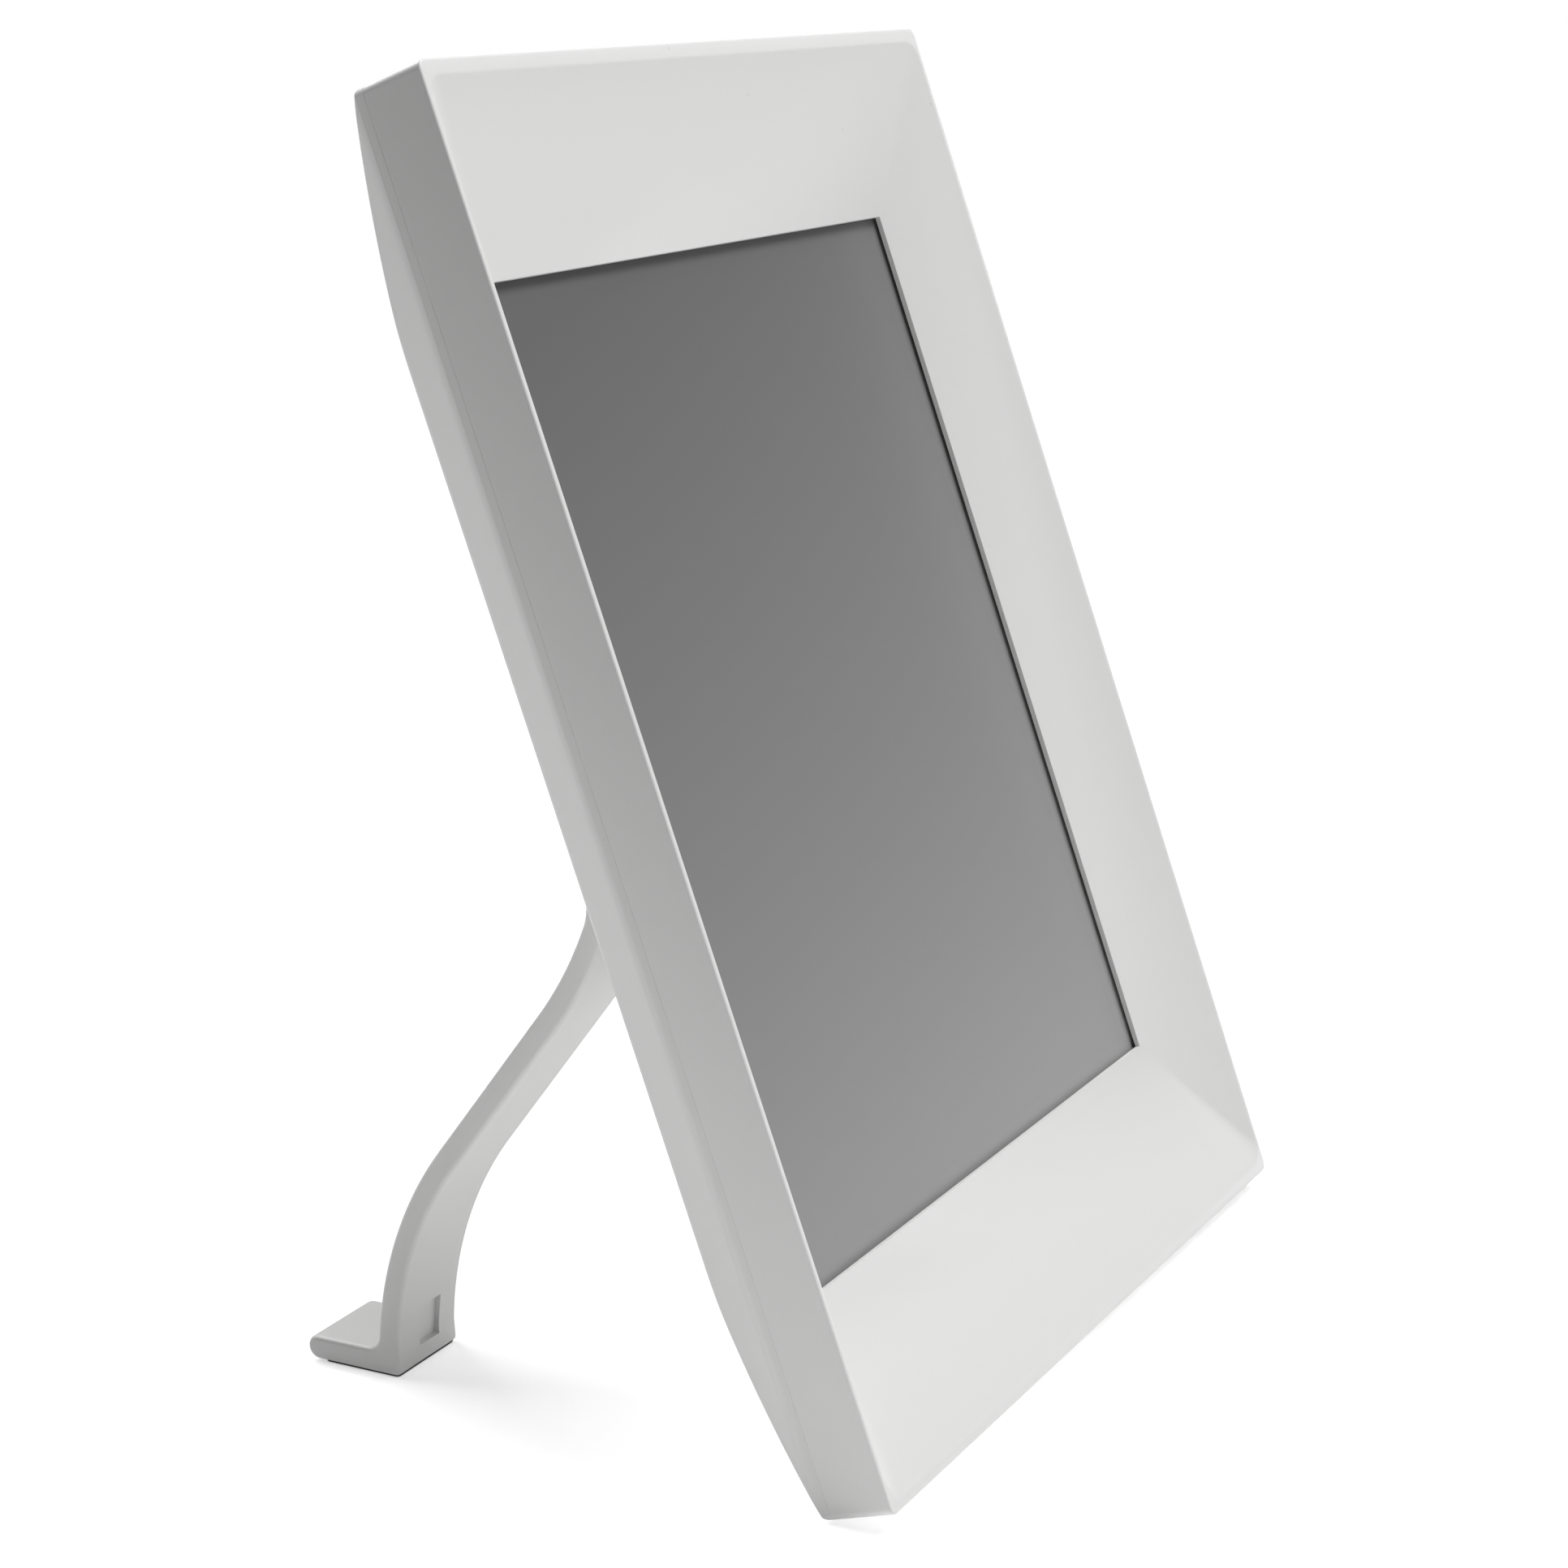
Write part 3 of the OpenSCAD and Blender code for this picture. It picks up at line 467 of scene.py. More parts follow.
def clear_material():
    """The clear plastic sheet that spreads the light behind the screen."""
    material, tree, shader = new_finish("clear_guide")
    surface = use_group(tree, GRAIN, Scale=900.0, Roughness=0.12, Spread=0.08)
    tree.links.new(surface.outputs["Roughness"], shader.inputs["Roughness"])
    raise_bump(tree, shader, surface.outputs["Height"], 0.05, FINE_RELIEF)
    shader.inputs["Base Color"].default_value = (0.86, 0.90, 0.92, 1)
    shader.inputs["Transmission Weight"].default_value = 0.9
    shader.inputs["IOR"].default_value = 1.49
    return material


screen_grey = screen_material()
clear_plastic = clear_material()

FINISH = {
    "front_bezel": shell_white, "rear_cover": cover_white, "stand_leg": stand_white,
    "stand_hub": stand_white, "window_gasket": foam_black, "screen_glass": screen_grey,
    "display_frame": steel, "light_guide": clear_plastic, "led_strip": led_white,
    "backlight_tray": aluminium, "display_brackets": steel, "bracket_screws": steel,
    "main_board": board_green, "processor": chip_black, "memory_chips": chip_black,
    "cable_connector": ivory, "screen_cable": cable_white, "card_reader": steel,
    "usb_socket": steel, "power_socket": chip_black, "push_switches": chip_black,
    "slide_switch": chip_black, "power_slider": button_white, "menu_button": button_white,
    "back_button": button_white, "previous_button": button_white, "next_button": button_white,
    "enter_button": button_white, "board_screws": steel, "cover_screws": steel,
    "hub_retainer": steel, "hub_screws": steel, "detent_spring": spring_metal,
    "leg_screw": steel, "foot_pad": rubber_grey,
}
for node, material in FINISH.items():
    target = frame["nodes"][node]
    target.data.materials.clear()
    target.data.materials.append(material)
print("finishes on", len(FINISH), "nodes")

# %% [markdown]
# ## Helpers for modelling by hand
# Every piece below starts as a primitive of the right size and is shaped in edit mode, as a person
# would with the mouse. Edit mode works on what is selected, so the helpers pick faces or edges by
# where they are, and everything is deselected before anything new is added, because operators
# act on all that is selected.

# %% Helpers
def deselect():
    """Leaves edit mode, if it is on, and deselects every object."""
    if bpy.context.object and bpy.context.object.mode != "OBJECT":
        bpy.ops.object.mode_set(mode="OBJECT")
    bpy.ops.object.select_all(action="DESELECT")


def activate(obj):
    """Makes a piece the only selected one, and the one that operators work on."""
    deselect()
    obj.select_set(True)
    bpy.context.view_layer.objects.active = obj


def settle(obj):
    """Moves a piece's place, turn and size into its mesh."""
    activate(obj)
    bpy.ops.object.transform_apply(location=True, rotation=True, scale=True)


def block(name, x, y, z):
    """A box between two values on each axis of the upright panel, in metres."""
    deselect()
    centre = [(a + b) / 2 for a, b in (x, y, z)]
    bpy.ops.mesh.primitive_cube_add(size=1, location=centre, scale=[b - a for a, b in (x, y, z)])
    bpy.ops.object.transform_apply(location=True, rotation=False, scale=True)
    bpy.context.object.name = name
    return bpy.context.object


def rod(name, radius, x, y, z, sides=64):
    """A cylinder along the panel's depth, from one depth to another."""
    deselect()
    bpy.ops.mesh.primitive_cylinder_add(
        vertices=sides, radius=radius, depth=y[1] - y[0], location=(x, (y[0] + y[1]) / 2, z),
        rotation=(math.pi / 2, 0, 0))
    bpy.ops.object.transform_apply(location=True, rotation=True, scale=True)
    bpy.context.object.name = name
    return bpy.context.object


def edit(obj, mode="FACE"):
    """Opens a piece in edit mode with nothing selected."""
    activate(obj)
    bpy.ops.object.mode_set(mode="EDIT")
    bpy.ops.mesh.select_mode(type=mode)
    bpy.ops.mesh.select_all(action="DESELECT")


def pick(obj, kind, test):
    """Selects the faces, edges or vertices for which test says yes, and counts them."""
    mesh = bmesh.from_edit_mesh(obj.data)
    found = [part for part in getattr(mesh, kind) if test(part)]
    for part in found:
        part.select_set(True)
    mesh.select_flush_mode()
    bmesh.update_edit_mesh(obj.data)
    return len(found)


def middle_of(edge):
    """The point halfway along an edge."""
    return (edge.verts[0].co + edge.verts[1].co) / 2


def along(edge, axis):
    """Whether an edge runs along one of the panel's axes."""
    run = (edge.verts[1].co - edge.verts[0].co).normalized()
    return abs(run[axis]) > 0.999


def close(a, b, slack=0.02 * MM):
    """Whether two lengths are the same, but for rounding."""
    return abs(a - b) < slack


def lies_at(edge, axis, value):
    """Whether both ends of an edge lie at a value on one of the panel's axes."""
    return all(close(vertex.co[axis], value) for vertex in edge.verts)


def soften(obj, test, offset, segments, kind="edges", **settings):
    """Bevels the edges, or the points, for which test says yes, and counts them."""
    bpy.ops.mesh.select_all(action="DESELECT")
    count = pick(obj, kind, test)
    affect = "EDGES" if kind == "edges" else "VERTICES"
    bpy.ops.mesh.bevel(offset=offset, segments=segments, profile=0.5, affect=affect, **settings)
    return count


def leave_edit():
    """Goes back to object mode."""
    bpy.ops.object.mode_set(mode="OBJECT")


def modify(obj, kind, **settings):
    """Adds a modifier and applies it."""
    activate(obj)
    modifier = obj.modifiers.new(kind.lower(), kind)
    for key, value in settings.items():
        setattr(modifier, key, value)
    bpy.ops.object.modifier_apply(modifier=modifier.name)


def combine(obj, tool, operation):
    """A boolean with another piece, which is used up."""
    modify(obj, "BOOLEAN", operation=operation, object=tool, solver="EXACT")
    bpy.data.objects.remove(tool)


def join(pieces):
    """Makes one object of pieces that don't touch, such as a set of drills."""
    activate(pieces[0])
    for piece in pieces:
        piece.select_set(True)
    bpy.ops.object.join()
    return bpy.context.object


def tidy(obj, angle=30):
    """Merges doubles and smooths the shading across edges flatter than an angle."""
    edit(obj, "VERT")
    bpy.ops.mesh.select_all(action="SELECT")
    bpy.ops.mesh.remove_doubles(threshold=0.002 * MM)
    leave_edit()
    activate(obj)
    bpy.ops.object.shade_smooth_by_angle(angle=math.radians(angle))


def hand_over(obj, name, body, slot, material, *nodes):
    """Tips a finished piece onto its stand, names it, gives it its material, hangs it on its body
    and hides the parts it stands for.
    """
    obj.name = name
    obj.data.name = name
    obj.matrix_world = PANEL @ obj.matrix_world
    settle(obj)
    obj.data.materials.clear()
    obj.data.materials.append(material)
    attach(obj, body)
    if nodes:
        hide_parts(*nodes)
    print(name, "has", len(obj.data.polygons), "faces")


# %% [markdown]
# ## The front shell
# On the real frame this is one moulding: a narrow flat rim, a border that slopes down to the
# screen like a funnel, and plain side walls. It could be extruded ring by ring, but a block with
# a funnel cut out of it keeps every face flat, and the cutter's own corners can be rounded first.
# The corner lines of the border are soft at the rim and sharp at the window, so the cutter's
# corner edges are rounded and the round is then gathered to a point at its small end.

# %% Sizes of the front shell
RIM_SIDE, RIM_END = 1.2 * MM, 3.2 * MM
WALL = 2.2 * MM
LIP = 1.2 * MM
WINDOW_Y = 14 * MM
MARGIN_X, MARGIN_Z = 2.6 * MM, 5.6 * MM
CORNER_R = 2 * MM
OUTER_SOFT = 0.5 * MM
INNER_SOFT = 0.35 * MM
MITRE_SOFT = 4.5 * MM


# %% The funnel cutter
def funnel(name, grow_x=0.0, grow_z=0.0, soft=0.0):
    """A tapered block from in front of the rim down to the window's plane."""
    slope_x = (PANEL_W / 2 - RIM_SIDE - WINDOW_W / 2) / WINDOW_Y
    slope_z = (PANEL_H / 2 - RIM_END - WINDOW_H / 2) / WINDOW_Y
    front = -MM
    half_x = WINDOW_W / 2 + slope_x * (WINDOW_Y - front) + grow_x
    half_z = WINDOW_H / 2 + slope_z * (WINDOW_Y - front) + grow_z
    piece = block(name, (-half_x, half_x), (front, WINDOW_Y), (-half_z, half_z))
    edit(piece, "EDGE")
    if soft:
        soften(piece, lambda e: along(e, 1), soft, 6)
    small = (WINDOW_W / 2 + grow_x, WINDOW_H / 2 + grow_z)
    bpy.ops.mesh.select_mode(type="VERT")
    for side in (-1, 1):
        for end in (-1, 1):
            bpy.ops.mesh.select_all(action="DESELECT")
            pick(piece, "verts", lambda v: close(v.co.y, WINDOW_Y) and v.co.x * side > 0
                 and v.co.z * end > 0)
            corner = (side * half_x, WINDOW_Y, end * half_z)
            bpy.ops.transform.resize(value=(0.0, 1.0, 0.0), center_override=corner)
            bpy.ops.transform.translate(
                value=(side * (small[0] - half_x), 0, end * (small[1] - half_z)))
    bpy.ops.mesh.select_all(action="SELECT")
    bpy.ops.mesh.remove_doubles(threshold=0.001 * MM)
    leave_edit()
    return piece


# %% Block, hollow, border and window
shell = block("shell", (-PANEL_W / 2, PANEL_W / 2), (0, FRONT_D), (-PANEL_H / 2, PANEL_H / 2))
edit(shell, "EDGE")
soften(shell, lambda e: along(e, 1), CORNER_R, 8)
soften(shell, lambda e: lies_at(e, 1, 0), OUTER_SOFT, 4)
leave_edit()

hollow = block("hollow", (-PANEL_W / 2 + WALL, PANEL_W / 2 - WALL), (WALL, FRONT_D + WALL),
               (-PANEL_H / 2 + WALL, PANEL_H / 2 - WALL))
combine(hollow, funnel("border_back", MARGIN_X, MARGIN_Z), "DIFFERENCE")
plate_x, plate_z = WINDOW_W / 2 + MARGIN_X, WINDOW_H / 2 + MARGIN_Z
frame_plate = block("frame_plate", (-plate_x, plate_x), (WINDOW_Y - 0.5 * MM, WINDOW_Y + LIP),
                    (-plate_z, plate_z))
combine(shell, hollow, "DIFFERENCE")
combine(shell, frame_plate, "UNION")
combine(shell, funnel("border", soft=MITRE_SOFT), "DIFFERENCE")
window = block("window", (-WINDOW_W / 2, WINDOW_W / 2), (WINDOW_Y - MM, WINDOW_Y + 2 * LIP),
               (-WINDOW_H / 2, WINDOW_H / 2))
combine(shell, window, "DIFFERENCE")
print("front shell cut,", len(shell.data.polygons), "faces")

# %% Soften the rim's inner edge
def on_inner_rim(edge):
    """Whether an edge is a real corner in the rim's plane, inside its outline."""
    spot = middle_of(edge)
    return (lies_at(edge, 1, 0) and abs(edge.calc_face_angle(0)) > 0.1
            and abs(spot.x) < PANEL_W / 2 - RIM_SIDE + 0.2 * MM
            and abs(spot.z) < PANEL_H / 2 - RIM_END + 0.2 * MM)


edit(shell, "EDGE")
print("softened", soften(shell, on_inner_rim, INNER_SOFT, 3), "edges of the rim")
leave_edit()
tidy(shell)
hand_over(shell, "bezel_shell", "housing", "shell_white", shell_white, "front_bezel")

# %% [markdown]
# ## The rear cover
# The real cover is a second moulding, a shallow pillow: its long sides turn over in a steep
# facet with a soft crease, while its two ends rise in one long, slow curve. It could be sculpted
# from a subdivided box, but clean surfaces crossing are exactly what a boolean gives. So the side
# profile is drawn with a moving point, as lines and arcs, and extruded across. Then it is cut
# down to a block whose long back edges are sliced off by a bisect and softened by bevels.
# A second block gives it round corners and takes the sharpness off the edge along the seam.

# %% Drawing an outline with a moving point
def start_point(name, x, y, z):
    """One vertex, ready to be drawn along."""
    deselect()
    bpy.ops.mesh.primitive_plane_add(size=MM, location=(x, y, z))
    piece = bpy.context.object
    piece.name = name
    settle(piece)
    bpy.ops.object.mode_set(mode="EDIT")
    bpy.ops.mesh.select_mode(type="VERT")
    bpy.ops.mesh.select_all(action="SELECT")
    bpy.ops.mesh.merge(type="CENTER")
    return piece


def draw_line(y, z):
    """Draws from the last point by a step in depth and height."""
    bpy.ops.mesh.extrude_region_move(TRANSFORM_OT_translate={"value": (0, y, z)})


def draw_arc(x, y, z, turn, steps):
    """Swings the last point about a line across the panel. A positive turn goes up to back."""
    bpy.ops.mesh.spin(steps=steps, angle=turn, center=(x, y, z), axis=(1, 0, 0))


def fill_outline():
    """Closes the drawn loop and makes it one face."""
    bpy.ops.mesh.select_all(action="SELECT")
    bpy.ops.mesh.remove_doubles(threshold=0.005 * MM)
    bpy.ops.mesh.edge_face_add()


def thicken_outline(width):
    """Extrudes the filled outline across the panel and turns its faces outwards."""
    bpy.ops.mesh.select_all(action="SELECT")
    bpy.ops.mesh.extrude_region_move(TRANSFORM_OT_translate={"value": (width, 0, 0)})
    bpy.ops.mesh.select_all(action="SELECT")
    bpy.ops.mesh.normals_make_consistent(inside=False)


# %% Sizes of the rear cover
END_RUN, END_RISE = 75 * MM, 14.5 * MM
END_R = (END_RUN ** 2 + END_RISE ** 2) / (2 * END_RISE)
CREASE_SOFT = 1.0 * MM
FACET_Y, FACET_RUN = FRONT_D + 2.6 * MM, 5.8 * MM
CREASE_SIDE, SHOULDER = 1.5 * MM, 3.2 * MM
SEAM, LEAST_CORNER = 0.16 * MM, 0.4 * MM
ARC_STEPS = 24


def cover_form(name, inset, front, soft=0.0):
    """The cover's swelling form, shrunk by an inset and starting at a given depth."""
    top = BACK_Y - inset
    tip = PANEL_H / 2 - inset
    arc_z = PANEL_H / 2 - END_RUN
    arc_y = BACK_Y - END_R
    reach = math.asin((tip - arc_z) / (END_R - inset))
    tip_y = arc_y + (END_R - inset) * math.cos(reach)
    across = PANEL_W / 2 + 2 * MM
    form = start_point(name, -across, front, -tip)
    draw_line(tip_y - front, 0)
    draw_arc(-across, arc_y, -arc_z, -reach, ARC_STEPS)
    draw_line(0, 2 * arc_z)
    draw_arc(-across, arc_y, arc_z, -reach, ARC_STEPS)
    draw_line(front - tip_y, 0)
    fill_outline()
    if soft:
        soften(form, lambda v: close(v.co.y, tip_y) and close(abs(v.co.z), tip), soft, 5, "verts")
    thicken_outline(2 * across)
    leave_edit()

    half = PANEL_W / 2 - inset
    lid = top + 0.01 * MM
    tube = block(name + "_sides", (-half, half), (front - MM, lid), (-tip - MM, tip + MM))
    edit(tube, "EDGE")
    for side in (-1, 1):
        normal = Vector((side * (BACK_Y - FACET_Y), FACET_RUN, 0)).normalized()
        edge = Vector((side * PANEL_W / 2, FACET_Y, 0))
        bpy.ops.mesh.select_all(action="SELECT")
        bpy.ops.mesh.bisect(plane_co=edge - inset * normal, plane_no=normal, clear_outer=True,
                            use_fill=True)

    def behind_seam(edge):
        """Whether an edge runs along a long side, behind the seam."""
        return along(edge, 2) and middle_of(edge).y > front + MM

    soften(tube, lambda e: behind_seam(e) and lies_at(e, 1, lid), SHOULDER - inset, 10)
    soften(tube, lambda e: behind_seam(e) and close(abs(middle_of(e).x), half), CREASE_SIDE, 5)
    leave_edit()
    combine(form, tube, "INTERSECT")

    plate = block(name + "_plate", (-half, half), (front, top + 2 * MM), (-tip, tip))
    edit(plate, "EDGE")
    soften(plate, lambda e: along(e, 1), max(CORNER_R - inset, LEAST_CORNER), 8)
    if not inset:
        soften(plate, lambda e: lies_at(e, 1, front), SEAM, 2)
    leave_edit()
    combine(form, plate, "INTERSECT")
    return form


cover = cover_form("cover", 0.0, FRONT_D, soft=CREASE_SOFT)
combine(cover, cover_form("cover_hollow", WALL, FRONT_D - MM), "DIFFERENCE")
print("cover swells by", round((BACK_Y - FRONT_D) / MM, 1), "mm")

# %% [markdown]
# The back needs its holes: six screw wells, the turning hole of the stand, five buttons, the
# power slider, two keyholes for a wall, two rows of slots that let warm air out, and three
# sockets in the edge. Each hole gets a drill of its own shape. Drills that don't touch are
# joined, so that one boolean cuts them all, which is quicker and keeps the faces tidy.

# %% Screw bosses and wells
WELL_IN_X, WELL_IN_Z = 18 * MM, 13 * MM
PILLAR_R, SHAFT_R, WELL_R = 4.4 * MM, 1.75 * MM, 3.1 * MM
WELLS = [(x * (PANEL_W / 2 - WELL_IN_X), z * (PANEL_H / 2 - WELL_IN_Z))
         for x in (-1, 0, 1) for z in (-1, 1)]
BOSS_Y = FRONT_D + 1.3 * MM
bosses = join([rod(f"boss_{i}", PILLAR_R, x, (BOSS_Y, BACK_Y), z, 40)
               for i, (x, z) in enumerate(WELLS)])
combine(bosses, cover_form("boss_limit", 0.4 * MM, FRONT_D), "INTERSECT")
combine(cover, bosses, "UNION")
combine(cover, join([rod(f"shaft_{i}", SHAFT_R, x, (FRONT_D, BACK_Y), z, 24)
                     for i, (x, z) in enumerate(WELLS)]), "DIFFERENCE")
wells = [rod(f"well_{i}", WELL_R, x, (BOSS_Y + 2.5 * MM, BACK_Y + MM), z, 40)
         for i, (x, z) in enumerate(WELLS)]
print(len(WELLS), "screw wells")

# %% Holes in the flat of the back
BUTTON_X, BUTTON_TOP, BUTTON_PITCH, BUTTON_R = 70 * MM, 58 * MM, 13 * MM, 3.6 * MM
SLIDER_Z, SLIDER_TRAVEL = -10 * MM, 3 * MM
SLIDER_W, SLIDER_H = 4.4 * MM, 5.4 * MM
HANGER_X, HANGER_Z, HANGER_RUN = 38 * MM, 56 * MM, 9 * MM
HANGER_R, NECK_W = 4.2 * MM, 4.2 * MM
STAND_HOLE_R, BUTTON_GAP = 13.05 * MM, 0.15 * MM
VENTS, VENT_STEP, VENT_W, VENT_H = 9, 5 * MM, 1.6 * MM, 18 * MM
VENT_Z, VENT_ROWS = -30 * MM, 12 * MM
DRILL = (BACK_Y - 5 * MM, BACK_Y + MM)


def slot_drill(name, x, z, width, height, soft):
    """A long hole with rounded ends."""
    piece = block(name, (x - width / 2, x + width / 2), DRILL, (z - height / 2, z + height / 2))
    edit(piece, "EDGE")
    soften(piece, lambda e: along(e, 1), soft, 5)
    leave_edit()
    return piece


drills = wells + [rod("stand_drill", STAND_HOLE_R, hub.x, DRILL, hub.z, 96)]
drills += [rod(f"button_drill_{i}", BUTTON_R + BUTTON_GAP, BUTTON_X, DRILL,
               BUTTON_TOP - i * BUTTON_PITCH, 40) for i in range(5)]
drills.append(slot_drill("slider_drill", BUTTON_X, SLIDER_Z - SLIDER_TRAVEL / 2, SLIDER_W,
                         SLIDER_H + SLIDER_TRAVEL, 0.4 * MM))
drills += [rod(f"hanger_drill_{s}", HANGER_R, s * HANGER_X, DRILL, HANGER_Z, 48) for s in (-1, 1)]
drills += [slot_drill(f"vent_{i}_{s}", (i - VENTS // 2) * VENT_STEP, VENT_Z + s * VENT_ROWS,
                      VENT_W, VENT_H, 0.75 * MM) for i in range(VENTS) for s in (-1, 1)]
combine(cover, join(drills), "DIFFERENCE")
combine(cover, join([slot_drill(f"hanger_neck_{s}", s * HANGER_X, HANGER_Z + HANGER_RUN / 2,
                                NECK_W, HANGER_RUN + NECK_W, 2.05 * MM) for s in (-1, 1)]),
        "DIFFERENCE")
print("cut", len(drills), "holes in the flat of the back")

# %% Openings for card, data plug and power plug in the edge
EDGE = (PANEL_W / 2 - 9.2 * MM, PANEL_W / 2 + MM)
BOARD_FACE = BACK_Y - 6.6 * MM
CARD_Z, DATA_Z, POWER_Z = (-44.4 * MM, -19.6 * MM), (-56.6 * MM, -49.4 * MM), -64 * MM
CARD_H, DATA_H, OPENING_LIFT = 2.9 * MM, 3.7 * MM, 0.2 * MM
POWER_R, POWER_H = 1.9 * MM, 2.1 * MM
low = BOARD_FACE + OPENING_LIFT
openings = [block("card_opening", EDGE, (low, BOARD_FACE + CARD_H), CARD_Z),
            block("data_opening", EDGE, (low, BOARD_FACE + DATA_H), DATA_Z)]
power_opening = rod("power_opening", POWER_R, 0, EDGE, 0, 32)
power_opening.matrix_world = (Matrix.Translation((0, BOARD_FACE + POWER_H, POWER_Z))
                              @ Matrix.Rotation(-math.pi / 2, 4, "Z"))
settle(power_opening)
combine(cover, join(openings + [power_opening]), "DIFFERENCE")
print("cover drilled,", len(cover.data.polygons), "faces")

# %% Break the sharp edges of the holes
HOLE_SOFT, SHARP = 0.25 * MM, math.radians(60)
edit(cover, "EDGE")
count = soften(cover, lambda e: lies_at(e, 1, BACK_Y) and e.calc_face_angle(0) > SHARP,
               HOLE_SOFT, 2, clamp_overlap=True)
leave_edit()
print("broke", count, "edges round the holes")
tidy(cover, 20)
hand_over(cover, "back_shell", "housing", "cover_white", cover_white, "rear_cover")

# %% [markdown]
# ## The stand's leg
# One moulded strip that leaves the hub straight down, sweeps backwards, runs straight and curls
# down to a flat foot. A curve object with a bevel would give the strip but not the foot. So the
# whole side view is drawn once as an outline, down the front face and back up the rear face,
# with the same centres for both arcs of each bend. It is then filled, extruded across, and its
# long edges are rounded, as the mould's edges are.

# %% The leg's path
LEG_W, LEG_T = 22 * MM, 5.5 * MM
LEG_Y = BACK_Y + 4.55 * MM
HUB_DROP, ANKLE = 13.5 * MM, 4.6 * MM
HUB_BEND, UPPER_BEND, LOWER_BEND = 15.5 * MM, 92 * MM, 91 * MM
DOWN, UPPER, MIDDLE, FOOT = (math.radians(a) for a in (90, 48.4, 32.6, 67.4))
FOOT_LEN, FOOT_T, SOLE = 26 * MM, 6 * MM, 0.4 * MM


def ahead(slope):
    """The direction of the strip where it slopes down by an angle."""
    return Vector((0, math.cos(slope), -math.sin(slope)))


def rearwards(slope):
    """The direction square to the strip there, towards its rear face."""
    return Vector((0, math.sin(slope), math.cos(slope)))


def height(point):
    """How far a point is above the table."""
    return (PANEL @ point).z


bend_1 = Vector((hub.x, LEG_Y, hub.z - HUB_DROP))
centre_1 = bend_1 + HUB_BEND * rearwards(DOWN)
bend_2 = centre_1 - HUB_BEND * rearwards(UPPER)
centre_2 = bend_2 + UPPER_BEND * rearwards(UPPER)
bend_3 = centre_2 - UPPER_BEND * rearwards(MIDDLE)
curl = LOWER_BEND * (rearwards(FOOT) - rearwards(MIDDLE)) + ANKLE * ahead(FOOT)
STRAIGHT = height(bend_3 + curl) / math.sin(MIDDLE + lean)
bend_4 = bend_3 + STRAIGHT * ahead(MIDDLE)
centre_3 = bend_4 - LOWER_BEND * rearwards(MIDDLE)
heel = bend_4 + curl
print(f"leg runs straight for {STRAIGHT / MM:.1f} mm, heel {height(heel) / MM:.2f} mm up")


def on_table(run, rise):
    """A point of the panel's frame, given along the table from the heel and up from it."""
    return heel + run * Vector((0, cos_lean, sin_lean)) + rise * Vector((0, -sin_lean, cos_lean))


# %% The leg's side view
TOE = FOOT_LEN - LEG_T / 2 - 0.6 * MM
FRONT_R, BACK_R, FILLET = LOWER_BEND - LEG_T / 2, LOWER_BEND + LEG_T / 2, 4 * MM
TOE_R, HEEL_R, LEAD_IN = 2.75 * MM, 1.2 * MM, Vector((0, 0, 2 * MM))


def slope_at(radius, rise):
    """The slope at which a circle about the last bend's centre is at a height over the table."""
    return math.acos((rise - height(centre_3)) / radius) - lean


fillet_slope = slope_at(BACK_R + FILLET, FOOT_T + FILLET)
fillet_centre = centre_3 + (BACK_R + FILLET) * rearwards(fillet_slope)
left = hub.x - LEG_W / 2
here = Vector((left, LEG_Y - LEG_T / 2, hub.z - HUB_DROP)) + LEAD_IN
leg = start_point("leg", *here)


def draw_to(point):
    """Draws a straight line to a point of the side view."""
    global here
    draw_line(point.y - here.y, point.z - here.z)
    here = point


def swing(centre, turn, steps):
    """Draws an arc about a centre and keeps track of where it ends."""
    global here
    draw_arc(left, centre.y, centre.z, turn, steps)
    here = centre + Matrix.Rotation(-turn, 3, "X") @ (here - centre)


draw_to(here - LEAD_IN)
swing(centre_1, UPPER - DOWN, 10)
swing(centre_2, MIDDLE - UPPER, 10)
draw_to(here + STRAIGHT * ahead(MIDDLE))
swing(centre_3, slope_at(FRONT_R, FOOT_T) - MIDDLE, 20)
heel_run = (here - heel).dot(Vector((0, cos_lean, sin_lean)))
draw_to(on_table(heel_run, SOLE))
draw_to(on_table(TOE, SOLE))
draw_to(on_table(TOE, FOOT_T))
draw_to(fillet_centre - FILLET * rearwards(-lean))
swing(fillet_centre, fillet_slope + lean, 8)
swing(centre_3, MIDDLE - fillet_slope, 20)
draw_to(here - STRAIGHT * ahead(MIDDLE))
swing(centre_2, UPPER - MIDDLE, 10)
swing(centre_1, DOWN - UPPER, 10)
draw_to(here + LEAD_IN)
fill_outline()


# %% Round the corners of the foot, then give the strip its width
def near(vertex, point, slack=0.1 * MM):
    """Whether a vertex of the outline is at a point of the side view."""
    return (vertex.co - Vector((left, point.y, point.z))).length < slack


for corner, radius, steps in (((TOE, FOOT_T), TOE_R, 8), ((TOE, SOLE), TOE_R, 8),
                              ((heel_run, SOLE), HEEL_R, 4)):
    soften(leg, lambda v: near(v, on_table(*corner)), radius, steps, "verts")
thicken_outline(LEG_W)
leave_edit()
print("leg blank has", len(leg.data.polygons), "faces")


# %% Pocket low on the front face, and the tongue that goes into the hub
def level(piece):
    """Turns a piece made along the table into the upright panel's frame."""
    piece.matrix_world = PANEL.inverted() @ piece.matrix_world
    settle(piece)
    return piece


